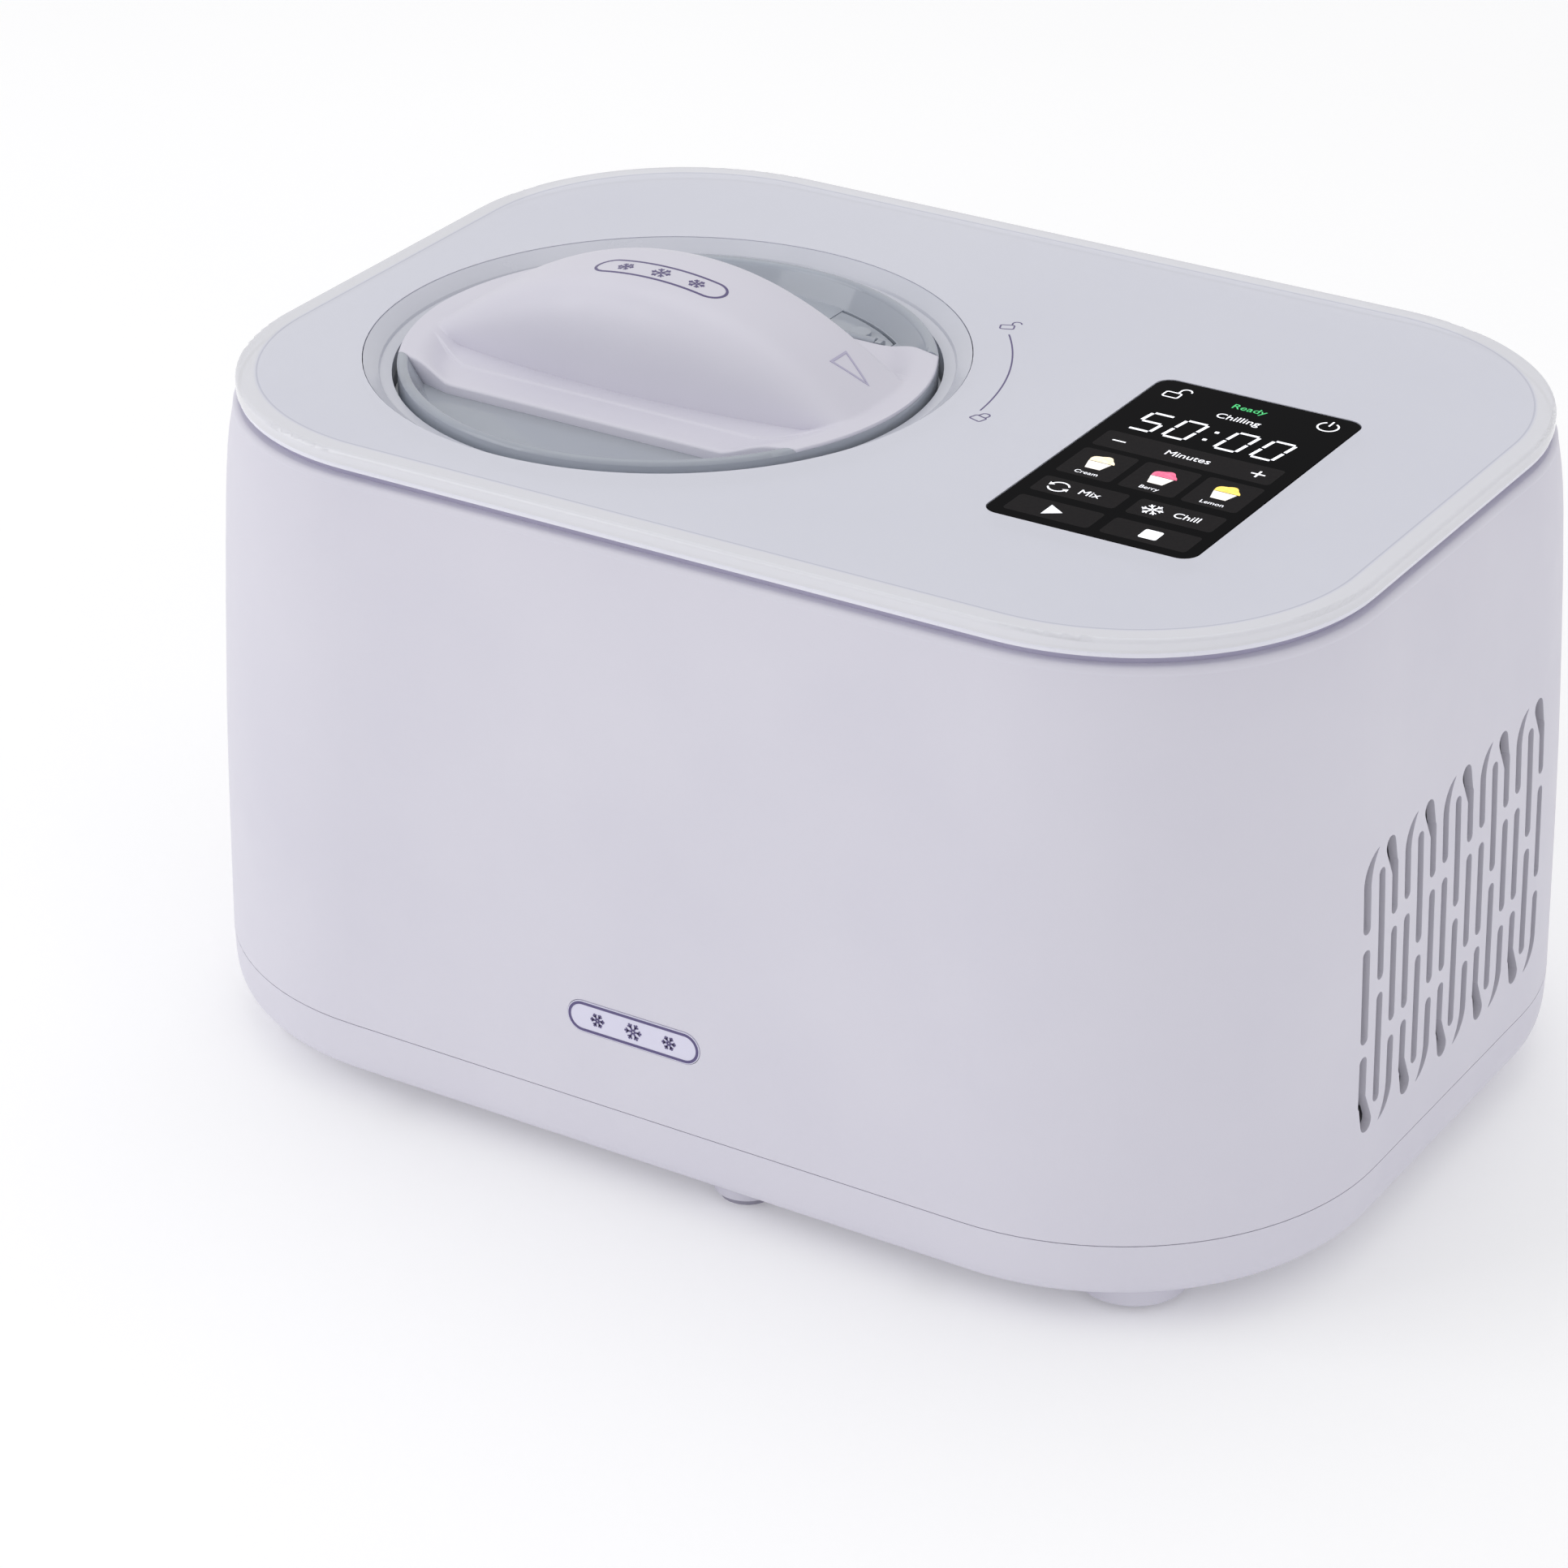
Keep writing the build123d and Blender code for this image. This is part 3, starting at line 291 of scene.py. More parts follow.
def slot_looks():
    """The material of each of the record's slots."""
    light, dark = srgb(217, 215, 226), srgb(213, 211, 223)
    return {
        "lavender_plastic": moulded("lavender_plastic_look", light, dark, 0.40, 0.50),
        # Paler than lavender_plastic: partly the deck's own whiter tone, partly painted light that makes up
        # for the light the see-through panel above holds back.
        "lavender_gloss": moulded("lavender_gloss_painted_light_look", srgb(234, 234, 243), srgb(230, 230, 240),
                                  0.22, 0.32, grain=900.0, height=0.000006),
        "lavender_grip": moulded("lavender_grip_look", light, dark, 0.36, 0.46),
        "clear_panel": panel_look(),
        "smoky_clear": window_look(),
        "black_glass": moulded("black_glass_look", srgb(7, 7, 9), srgb(11, 10, 12), 0.04, 0.10,
                               grain=60.0, height=0.000002, Specular_IOR_Level=0.01),
        "display_lcd": moulded("display_lcd_look", srgb(16, 17, 20), srgb(22, 22, 28), 0.2, 0.3),
        "emblem_violet": moulded("emblem_violet_look", srgb(222, 220, 238), srgb(218, 216, 236), 0.25, 0.4),
        "grey_rubber": moulded("grey_rubber_look", srgb(166, 163, 178), srgb(156, 153, 170), 0.6, 0.8,
                               grain=1200.0, height=0.00005),
        "lavender_rubber": moulded("lavender_rubber_look", srgb(190, 186, 208), srgb(182, 178, 202),
                                   0.55, 0.7, grain=1200.0),
        "clear_silicone": silicone_look(),
        "bowl_aluminium": brushed_disc("bowl_aluminium_look", srgb(214, 216, 220), srgb(202, 204, 210),
                                       0.22, 0.38),
        "fin_aluminium": metal("fin_aluminium_look", srgb(206, 208, 212), srgb(188, 190, 196), 0.3, 0.5,
                               (1.0, 1.0, 12.0)),
        "paddle_white": moulded("paddle_white_look", srgb(236, 236, 234), srgb(230, 230, 229), 0.35, 0.48),
        "steel": metal("steel_look", srgb(196, 197, 200), srgb(178, 180, 184), 0.22, 0.4, (14.0, 14.0, 1.0)),
        "black_plastic": moulded("black_plastic_look", srgb(30, 30, 33), srgb(38, 38, 42), 0.45, 0.62,
                                 grain=1500.0, height=0.00004),
        "nylon": moulded("nylon_look", srgb(228, 224, 208), srgb(220, 215, 198), 0.4, 0.52),
        "gearbox_grey": moulded("gearbox_grey_look", srgb(150, 150, 156), srgb(138, 138, 146), 0.5, 0.65),
        "copper": metal("copper_look", srgb(214, 138, 104), srgb(176, 104, 74), 0.22, 0.45, (6.0, 6.0, 6.0)),
        "compressor_black": moulded("compressor_black_look", srgb(18, 18, 20), srgb(26, 26, 29), 0.25, 0.4,
                                    grain=500.0, height=0.00006, Coat_Weight=0.4),
        "foam": moulded("foam_look", srgb(232, 220, 178), srgb(214, 198, 150), 0.8, 0.95,
                        grain=700.0, height=0.0004),
        "board_green": circuit_look("board_green_look", srgb(18, 84, 48), srgb(30, 108, 62), 260.0),
        "component_black": circuit_look("component_black_look", srgb(24, 24, 26), srgb(48, 50, 60), 90.0),
        "ribbon_grey": metal("ribbon_grey_look", srgb(170, 172, 178), srgb(140, 142, 150), 0.5, 0.6,
                             (30.0, 1.0, 1.0)),
        "pin_brass": metal("pin_brass_look", srgb(222, 190, 110), srgb(196, 160, 84), 0.2, 0.35,
                           (1.0, 1.0, 8.0)),
    }


def dress_frame(looks):
    """Gives each CAD node the look of its slot, or its own where it has one."""
    for part in frame["record"]["subparts"]:
        node = frame["nodes"][part["node"]]
        material = looks.get(part["node"], looks[part["material_slot"]]).material
        if not node.material_slots:
            node.data.materials.append(material)
        for place in node.material_slots:
            place.link = "OBJECT"
            place.material = material


# ---------------------------------------------------------------- mesh helpers, in mm
SAME_POINT = 1e-9
SHARPEST_MITRE = 0.3                       # keeps a tight corner of a stroke from growing a spike
FINE_STEP = 1.0
FLAKE_ARMS = 6
FLAKE_HUB = 0.1                            # where an arm starts, as a share of its length
TWIG_ROOT, TWIG_TIP = (0.55, 0.0), (0.82, 0.27)
TWIG_WIDTH = 0.8                           # as a share of an arm's width


def settle(mesh_builder, name, body, look, place=Vector()):
    """Turns a bmesh in millimetres into a piece that rides on body."""
    mesh_builder.normal_update()
    mesh = bpy.data.meshes.new(name)
    mesh_builder.to_mesh(mesh)
    mesh_builder.free()
    for vertex in mesh.vertices:
        vertex.co = vertex.co * MM + place
    piece = bpy.data.objects.new(name, mesh)
    bpy.context.scene.collection.objects.link(piece)
    piece.data.materials.append(look.material)
    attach(piece, body)
    return piece


def add_ribbon(mesh, left, right, low, high, closed):
    """Solid strip between two edge lines of (x, y) points; low and high are heights or height functions."""
    def level(height, point):
        return height(*point) if callable(height) else height
    corners = [
        [mesh.verts.new((x, y, level(height, (x, y)))) for (x, y), height in
         ((a, low), (b, low), (b, high), (a, high))]
        for a, b in zip(left, right)
    ]
    pairs = list(zip(corners, corners[1:] + corners[:1])) if closed else list(zip(corners, corners[1:]))
    for here, there in pairs:
        for k in range(4):
            mesh.faces.new((here[k], there[k], there[(k + 1) % 4], here[(k + 1) % 4]))
    if not closed:
        mesh.faces.new(corners[0])
        mesh.faces.new(list(reversed(corners[-1])))


def add_stroke(mesh, points, width, low, high, closed=False):
    """Line of that width along points, with mitred corners."""
    count = len(points)
    left, right = [], []
    for i, (x, y) in enumerate(points):
        before = points[(i - 1) % count] if closed or i else points[i]
        after = points[(i + 1) % count] if closed or i < count - 1 else points[i]
        ways = []
        for (ax, ay), (bx, by) in ((before, (x, y)), ((x, y), after)):
            length = math.hypot(bx - ax, by - ay)
            if length > SAME_POINT:
                ways.append((-(by - ay) / length, (bx - ax) / length))
        nx, ny = (sum(way[k] for way in ways) / len(ways) for k in (0, 1))
        spread = max(nx * nx + ny * ny, SHARPEST_MITRE)
        nx, ny = nx / spread * width / 2, ny / spread * width / 2
        left.append((x + nx, y + ny))
        right.append((x - nx, y - ny))
    add_ribbon(mesh, left, right, low, high, closed)


def add_plate(mesh, outline, low, high):
    """Flat prism of an (x, y) outline."""
    bottom = [mesh.verts.new((x, y, low)) for x, y in outline]
    top = [mesh.verts.new((x, y, high)) for x, y in outline]
    mesh.faces.new(list(reversed(bottom)))
    mesh.faces.new(top)
    for k in range(len(outline)):
        following = (k + 1) % len(outline)
        mesh.faces.new((bottom[k], bottom[following], top[following], top[k]))


def arc(x, y, radius, start, end, steps=24):
    """Points of an arc; angles in degrees."""
    turns = [math.radians(start + (end - start) * k / steps) for k in range(steps + 1)]
    return [(x + radius * math.cos(turn), y + radius * math.sin(turn)) for turn in turns]


def rounded(x0, x1, y0, y1, radius, steps=6):
    """Outline of a rounded rectangle, counter-clockwise."""
    centres = ((x1 - radius, y1 - radius, 0), (x0 + radius, y1 - radius, 90),
               (x0 + radius, y0 + radius, 180), (x1 - radius, y0 + radius, 270))
    return [point for cx, cy, turn in centres for point in arc(cx, cy, radius, turn, turn + 90, steps)]


def around(points, x, y, turn=0.0, size=1.0):
    """Points turned by degrees, scaled and moved to x, y."""
    c, s = math.cos(math.radians(turn)) * size, math.sin(math.radians(turn)) * size
    return [(x + px * c - py * s, y + px * s + py * c) for px, py in points]


def divided(start, end, count):
    """That many evenly spaced points from start, leaving out end."""
    (ax, ay), (bx, by) = start, end
    return [(ax + (bx - ax) * k / count, ay + (by - ay) * k / count) for k in range(count)]


def finer(outline):
    """The same closed line with no stretch longer than FINE_STEP."""
    result = []
    for start, end in zip(outline, outline[1:] + outline[:1]):
        result += divided(start, end, max(1, math.ceil(math.dist(start, end) / FINE_STEP)))
    return result


def snowflake(mesh, x, y, size, width, low, high):
    """Flake of plain strokes, with a pair of twigs on each arm."""
    for arm in range(FLAKE_ARMS):
        turn = arm * 360 / FLAKE_ARMS
        add_stroke(mesh, around([(FLAKE_HUB, 0), (1, 0)], x, y, turn, size), width, low, high)
        for side in (-1, 1):
            twig = [TWIG_ROOT, (TWIG_TIP[0], side * TWIG_TIP[1])]
            add_stroke(mesh, around(twig, x, y, turn, size), width * TWIG_WIDTH, low, high)


# ---------------------------------------------------------------- grip, in mm from the lid axis and panel
CREST_SINK = 0.15                          # keeps the crest under the top of the CAD grip
CREST = (GRIP_HIGH.z - PANEL_TOP) / MM - CREST_SINK
RIDGE_BASE = -5.5
RIDGE_HALF = 84.7
RIDGE_W_MID, RIDGE_W_END = 29.3, 20.0
ARCH_POWER = 2.07                          # how round the crest's arch is along X
SIDE_POWER, TOP_POWER = 4.4, 2.4           # how square the ridge's section is
FLANGE_LOW, FLANGE_RIM = -6.5, -1.5
FLANGE_FOOT = -9.0
FLANGE_HALF = (GRIP_HIGH.y - GRIP_LOW.y) / 2 / MM
GRIP_R = (GRIP_HIGH.x - GRIP_LOW.x) / 2 / MM
FLARE_START = 53.0
FLARE_END, FLARE_HALF = 76.4, 44.3
CLIMB_START, CLIMB_END = 69.0, 82.0        # radii between which the flange rises to the rim
BEAD_HALF = 37.0
BEAD_RISE = 1.5
BEAD_STRAIGHT = 56.0                       # the bead runs straight up to here, then turns in
BEAD_TURN_IN, BEAD_TURN_RUN = 13.0, 21.0
BEAD_EDGE_GAP = 2.5
BEAD_SLOPE = (-0.9, 0.5)                   # where the bead's side starts and ends, across it
BEAD_FADE = 70.0                           # radius at which the bead starts to fade
FILLET = 0.7
FOOT_GAP = 1.5                             # from the ridge's foot to the bead, at least
BEAD_INSIDE, BEAD_OUTSIDE = 1.2, 0.8       # the closely divided stretch about the bead
RIM_R = 0.9
CROWDING = 0.4545                          # crowds the points of a section toward the ridge's side
RIDGE_POINTS, VALLEY_POINTS, BEAD_POINTS, RIM_POINTS = 30, 4, 6, 5
INNER_STATIONS, OUTER_STATIONS = 110, 26
OUTER_START = 0.67                         # share of a quarter turn at which the end stations start
FLARE_GAP, END_GAP = 0.4, 0.02             # room kept between stations at the flare and at the end
GRIP_MERGE = 0.003
GRIP_SHARP = 48.0                          # edges steeper than this, in degrees, stay sharp
MARK_BASE, MARK_TIP = 63.3, 74.3
MARK_MIDDLE, MARK_HALF = 3.0, 4.5
MARK_LINE, MARK_SINK, MARK_RISE = 0.7, 0.4, 0.22
MARK_STEPS = 8


def smooth(start, end, value):
    """0 before start, 1 after end, and a soft step between."""
    share = min(max((value - start) / (end - start), 0.0), 1.0)
    return share * share * (3 - 2 * share)


def flange_half(x):
    """Half width of the flange at x: straight, then flared, then the lid's round edge."""
    ax = abs(x)
    if ax <= FLARE_START:
        return FLANGE_HALF
    if ax <= FLARE_END:
        return FLANGE_HALF + (FLARE_HALF - FLANGE_HALF) * (ax - FLARE_START) / (FLARE_END - FLARE_START)
    return math.sqrt(max(GRIP_R * GRIP_R - ax * ax, 0.0))


def bead_half(x):
    """Half distance between the two sides of the bead at x."""
    narrowing = BEAD_TURN_IN * max(abs(x) - BEAD_STRAIGHT, 0.0) / BEAD_TURN_RUN
    return max(min(BEAD_HALF - narrowing, flange_half(x) - BEAD_EDGE_GAP), 0.0)


def ridge_shape(x):
    """Crest height above the ridge's base and half width at x."""
    u = min(abs(x) / RIDGE_HALF, 1.0)
    rise = (CREST - RIDGE_BASE) * (1 - u ** ARCH_POWER)
    return rise, RIDGE_W_MID + (RIDGE_W_END - RIDGE_W_MID) * u * u


def ridge_height(x, y):
    """Height of the ridge alone."""
    rise, half = ridge_shape(x)
    t = min(abs(y) / half, 1.0)
    return RIDGE_BASE + rise * (1 - t ** SIDE_POWER) ** (1 / TOP_POWER)


def flange_height(x, y):
    """Flange with its raised bead, climbing to the lid's rim at the ends."""
    radius = math.hypot(x, y)
    climb = smooth(CLIMB_START, CLIMB_END, radius)
    level = FLANGE_LOW + (FLANGE_RIM - FLANGE_LOW) * climb
    inside = 1 - smooth(*BEAD_SLOPE, abs(y) - bead_half(x))
    return level + BEAD_RISE * inside * (1 - smooth(BEAD_FADE, CLIMB_END, radius))


def grip_height(x, y):
    """The higher of ridge and flange, with a small fillet where they meet."""
    ridge, flange = ridge_height(x, y), flange_height(x, y)
    gap = ridge - flange
    if abs(gap) < FILLET:
        return max(ridge, flange) + (FILLET - abs(gap)) ** 2 / (4 * FILLET)
    return max(ridge, flange)


def grip_level(rise, shift=Vector()):
    """Height function of the grip's surface, raised; shift is its origin's place from the lid axis."""
    return lambda x, y: grip_height(x + shift.x, y + shift.y) + rise


def evenly(start, end, count):
    """That many evenly spaced values after start, the last one at end."""
    return [start + (end - start) * k / count for k in range(1, count + 1)]


def grip_half_line(x):
    """(y, z) points of the section at x, from the crest out to the flange's foot."""
    edge, bead = flange_half(x), bead_half(x)
    _, half = ridge_shape(x)
    foot = min(half, max(bead - FOOT_GAP, 0.0))
    ys = [foot * math.sin(turn) ** CROWDING for turn in evenly(0.0, math.pi / 2, RIDGE_POINTS)]
    ys += evenly(foot, bead - BEAD_INSIDE, VALLEY_POINTS)
    ys += evenly(bead - BEAD_INSIDE, bead + BEAD_OUTSIDE, BEAD_POINTS)
    ys += evenly(bead + BEAD_OUTSIDE, edge - RIM_R, RIM_POINTS)
    line = [(max(y, 0.0), grip_height(x, y)) for y in ys]
    top = grip_height(x, max(edge - RIM_R, 0.0))
    for turn in (30, 60, 90):
        drop = RIM_R * (1 - math.cos(math.radians(turn)))
        line.append((max(edge - RIM_R + RIM_R * math.sin(math.radians(turn)), 0.0), top - drop))
    line.append((edge, FLANGE_FOOT))
    return [(0.0, grip_height(x, 0.0))] + line


def grip_stations():
    """Section places along X, closer together toward the round ends."""
    inner = [FLARE_END * k / INNER_STATIONS for k in range(-INNER_STATIONS, INNER_STATIONS + 1)]
    shares = [OUTER_START] + evenly(OUTER_START, 1.0, OUTER_STATIONS)
    outer = [GRIP_R * math.sin(math.pi / 2 * share) for share in shares]
    outer = [x for x in outer if FLARE_END + FLARE_GAP < x < GRIP_R - END_GAP]
    return [-x for x in reversed(outer)] + inner + outer


def make_grip(look):
    """Arched ridge on its flange, one closed shell."""
    mesh = bmesh.new()
    rows = []
    for x in grip_stations():
        half = grip_half_line(x)
        line = [(-y, z) for y, z in reversed(half)] + half[1:]
        rows.append([mesh.verts.new((x, y, z)) for y, z in line])
    for here, there in zip(rows, rows[1:]):
        for k in range(len(here) - 1):
            mesh.faces.new((here[k], there[k], there[k + 1], here[k + 1]))
        mesh.faces.new((here[-1], there[-1], there[0], here[0]))
    mesh.faces.new(rows[0])
    mesh.faces.new(list(reversed(rows[-1])))
    bmesh.ops.remove_doubles(mesh, verts=mesh.verts, dist=GRIP_MERGE)
    bmesh.ops.recalc_face_normals(mesh, faces=mesh.faces)
    for face in mesh.faces:
        face.smooth = len(face.verts) == 4
    piece = settle(mesh, "grip_shell", "lid", look, place=LID_AXIS)
    piece.data.set_sharp_from_angle(angle=math.radians(GRIP_SHARP))
    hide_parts("lid_grip")


def make_lid_mark(look):
    """Raised outline triangle near the right end of the ridge."""
    corners = [(MARK_BASE, MARK_MIDDLE - MARK_HALF), (MARK_TIP, MARK_MIDDLE),
               (MARK_BASE, MARK_MIDDLE + MARK_HALF)]
    outline = []
    for start, end in zip(corners, corners[1:] + corners[:1]):
        outline += divided(start, end, MARK_STEPS)
    mesh = bmesh.new()
    add_stroke(mesh, outline, MARK_LINE, grip_level(-MARK_SINK), grip_level(MARK_RISE), closed=True)
    bmesh.ops.recalc_face_normals(mesh, faces=mesh.faces)
    settle(mesh, "lid_pointer", "lid", look, place=LID_AXIS)


# ---------------------------------------------------------------- emblems, in mm about their middles
BADGE_LINE = 0.9
BADGE_END_STEPS = 10
END_ARC_GAP = 0.01                         # keeps the two arcs of a round end from sharing a point
FLAKE_LINE = 0.62
FLAKES = ((-0.28, 0.27), (0.0, 0.33), (0.28, 0.27))     # places and sizes, as shares of the badge
FRONT_MARGIN = 1.6                         # how much smaller the art is than the plate it lies on
FRONT_SINK, FRONT_RISE = 0.1, 0.12
LID_MARGIN = 1.2
LID_SINK, LID_RISE = 0.4, 0.1


def badge_art(mesh, length, height, low, high):
    """Generic badge: a pill outline round three snowflakes."""
    radius = height / 2 - END_ARC_GAP
    outline = rounded(-length / 2, length / 2, -height / 2, height / 2, radius, BADGE_END_STEPS)
    add_stroke(mesh, finer(outline), BADGE_LINE, low, high, closed=True)
    for place, size in FLAKES:
        snowflake(mesh, length * place, 0.0, height * size, FLAKE_LINE, low, high)


def make_front_badge(look):
    """Badge print on the front plate, stood upright."""
    low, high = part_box("front_emblem")
    size = (high - low) / MM
    middle = Vector(((low.x + high.x) / 2, low.y, (low.z + high.z) / 2))
    mesh = bmesh.new()
    badge_art(mesh, size.x - FRONT_MARGIN, size.z - FRONT_MARGIN, -FRONT_SINK, FRONT_RISE)
    for vertex in mesh.verts:
        x, y, z = vertex.co
        vertex.co = (x, -z, y)
    bmesh.ops.recalc_face_normals(mesh, faces=mesh.faces)
    settle(mesh, "front_badge_print", "cabinet", look, place=middle)


def make_lid_badge(look):
    """Badge print that follows the grip's crest."""
    low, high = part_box("lid_emblem")
    size = (high - low) / MM
    middle = Vector(((low.x + high.x) / 2, (low.y + high.y) / 2, PANEL_TOP))
    shift = (middle - LID_AXIS) / MM
    mesh = bmesh.new()
    badge_art(mesh, size.x - LID_MARGIN, size.y - LID_MARGIN,
              grip_level(-LID_SINK, shift), grip_level(LID_RISE, shift))
    bmesh.ops.recalc_face_normals(mesh, faces=mesh.faces)
    piece = settle(mesh, "lid_badge_print", "lid", look, place=middle)
    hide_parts("lid_emblem")


# ---------------------------------------------------------------- prints on the panel, in mm
PRINT_LOW, PRINT_HIGH = -0.05, 0.03
PRINT_LINE = 0.55
LOCK_HALF, LOCK_LOW, LOCK_HIGH, LOCK_CORNER = 2.3, -2.0, 1.4, 0.7
SHACKLE_R, SHACKLE_FOOT, SHACKLE_BEND = 1.5, 1.6, 2.8
OPEN_SHIFT, OPEN_FOOT = 2.9, 2.6
SHACKLE_STEPS = 12
LOCKS = ((41.0, 113.0, True), (1.9, 114.6, False))      # angle and radius about the lid axis, opened
LOCK_LEAN = -20.0
TURN_ARC_R, TURN_ARC_START, TURN_ARC_END = 112.4, 4.7, 37.6
TURN_ARC_STEPS = 48


def padlock(mesh, x, y, turn, opened):
    """Small padlock: a rounded box with a shackle."""
    box = rounded(-LOCK_HALF, LOCK_HALF, LOCK_LOW, LOCK_HIGH, LOCK_CORNER)
    add_stroke(mesh, around(box, x, y, turn), PRINT_LINE, PRINT_LOW, PRINT_HIGH, closed=True)
    shift = OPEN_SHIFT if opened else 0.0
    shackle = [(shift - SHACKLE_R, SHACKLE_FOOT)]
    shackle += arc(shift, SHACKLE_BEND, SHACKLE_R, 180, 0, SHACKLE_STEPS)
    shackle += [(shift + SHACKLE_R, OPEN_FOOT if opened else SHACKLE_FOOT)]
    add_stroke(mesh, around(shackle, x, y, turn), PRINT_LINE, PRINT_LOW, PRINT_HIGH)


def make_panel_prints(look):
    """Turning arc between an open and a closed padlock, round the lid."""
    mesh = bmesh.new()
    turn_arc = arc(0, 0, TURN_ARC_R, TURN_ARC_START, TURN_ARC_END, TURN_ARC_STEPS)
    add_stroke(mesh, turn_arc, PRINT_LINE, PRINT_LOW, PRINT_HIGH)
    for angle, radius, opened in LOCKS:
        turn = math.radians(angle)
        padlock(mesh, radius * math.cos(turn), radius * math.sin(turn), angle + LOCK_LEAN, opened)
    bmesh.ops.recalc_face_normals(mesh, faces=mesh.faces)
    settle(mesh, "panel_prints", "cabinet", look, place=LID_AXIS)


# ---------------------------------------------------------------- screen, in mm about its middle
TILE_HEIGHTS = (-0.02, 0.02)
ICON_HEIGHTS = (0.0, 0.045)
WORD_MIDDLE, WORD_HALF_RISE = 0.03, 0.015
DIGIT_W, DIGIT_H, DIGIT_LINE = 7.6, 14.2, 1.15
DIGIT_SLANT = 0.13
DIGIT_BASE = 18.6
SEGMENT_GAP = 0.55
SEGMENTS = {"5": "afgcd", "0": "abcdef"}
DIGITS = (("5", -27.2), ("0", -15.2), ("0", 3.0), ("0", 15.6))
COLON_X, COLON_YS, DOT_HALF, DOT_CORNER = -2.5, (22.4, 29.2), 0.7, 0.3
MINUTES_Y, MODES_Y, BUTTONS_Y = 7.4, -33.0, -49.4
SIGN_LINE, RING_LINE, THIN_LINE = 0.7, 0.6, 0.55
MINUS = (-26.6, -22.0)                     # left and right ends
PLUS, PLUS_HALF = 24.4, 2.4
MIX_X, MIX_R, MIX_SWEEP = -23.6, 3.3, 130.0
ARROW = ((-1.2, 0.0), (1.2, 0.0), (0.0, 1.6))
CHILL_X, CHILL_SIZE = 9.0, 3.7
PLAY_BACK, PLAY_TIP, PLAY_HALF = -18.8, -13.2, 3.6
STOP = (14.0, 20.2, -52.4, -46.2)
POWER_X, POWER_Y, POWER_R = 26.7, 51.4, 3.4
POWER_ARC = (120, 420, 30)                 # start, end and steps
POWER_BAR = (52.0, 55.8)
SCREEN_LOCK = (-30.0, -24.6, 46.6, 50.6)
SCREEN_SHACKLE = (-24.2, 52.8, 1.8)
SHACKLE_START = (-26.0, 50.8)
ICON_CORNER = 0.8
TILE_CORNER = 1.5
TILES = [
    (-31.0, 31.0, 1.2, 13.8), (-31.0, -11.8, -22.4, -1.8), (-9.2, 10.2, -22.4, -1.8),
    (12.6, 31.8, -22.4, -1.8), (-31.0, -1.5, -38.8, -27.0), (2.2, 31.8, -38.8, -27.0),
    (-31.0, -1.5, -55.4, -43.2), (2.2, 31.8, -55.4, -43.2),
]
TUBS = [(-21.4, -11.0), (0.4, -11.0), (22.2, -11.0)]
TUB_FOOT_HALF, TUB_RIM_HALF, TUB_FOOT, TUB_RIM = 2.6, 4.0, -4.6, 0.6
SCOOP_R, SCOOP_TALL, SCOOP_Y = 4.4, 1.05, 0.9
SCOOP_LOBES, LOBE_DEPTH, SCOOP_STEPS = 5, 0.35, 24


def digit(mesh, kind, x, y):
    """Slanted seven-segment digit with its lower left corner at x, y."""
    half = DIGIT_H / 2
    ends = {
        "a": ((0, DIGIT_H), (DIGIT_W, DIGIT_H)),
        "b": ((DIGIT_W, DIGIT_H), (DIGIT_W, half)),
        "c": ((DIGIT_W, half), (DIGIT_W, 0)),
        "d": ((0, 0), (DIGIT_W, 0)),
        "e": ((0, half), (0, 0)),
        "f": ((0, DIGIT_H), (0, half)),
        "g": ((0, half), (DIGIT_W, half)),
    }
    for name in SEGMENTS[kind]:
        (ax, ay), (bx, by) = ends[name]
        length = math.hypot(bx - ax, by - ay)
        ux, uy = (bx - ax) / length * SEGMENT_GAP, (by - ay) / length * SEGMENT_GAP
        line = [(ax + ux, ay + uy), (bx - ux, by - uy)]
        slanted = [(x + px + DIGIT_SLANT * py, y + py) for px, py in line]
        add_stroke(mesh, slanted, DIGIT_LINE, *ICON_HEIGHTS)


def words(name, text, x, y, size, look):
    """Flat lettering centred on x, y of the screen."""
    curve = bpy.data.curves.new(name, "FONT")
    curve.body = text
    curve.size = size * MM
    curve.align_x = "CENTER"
    curve.align_y = "CENTER"
    curve.extrude = WORD_HALF_RISE * MM
    curve.resolution_u = 4
    carrier = bpy.data.objects.new(name + "_curve", curve)
    bpy.context.scene.collection.objects.link(carrier)
    evaluated = carrier.evaluated_get(bpy.context.evaluated_depsgraph_get())
    mesh = bpy.data.meshes.new_from_object(evaluated)
    bpy.data.objects.remove(carrier)
    piece = bpy.data.objects.new(name, mesh)
    piece.location = DISPLAY + Vector((x, y, WORD_MIDDLE)) * MM
    bpy.context.scene.collection.objects.link(piece)
    mesh.materials.clear()
    mesh.materials.append(look.material)
    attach(piece, "cabinet")


def screen_piece(name, draw, look):
    """One piece of the screen from a drawing function."""
    mesh = bmesh.new()
    draw(mesh)
    bmesh.ops.recalc_face_normals(mesh, faces=mesh.faces)
    settle(mesh, name, "cabinet", look, place=DISPLAY)


def draw_tiles(mesh):
    """Faintly lit tiles behind the symbols."""
    for tile in TILES:
        add_plate(mesh, rounded(*tile, TILE_CORNER), *TILE_HEIGHTS)


def draw_clock(mesh):
    """Digits and colon."""
    for kind, x in DIGITS:
        digit(mesh, kind, x, DIGIT_BASE)
    for y in COLON_YS:
        x = COLON_X + DIGIT_SLANT * (y - DIGIT_BASE)
        dot = rounded(x - DOT_HALF, x + DOT_HALF, y - DOT_HALF, y + DOT_HALF, DOT_CORNER)
        add_plate(mesh, dot, *ICON_HEIGHTS)


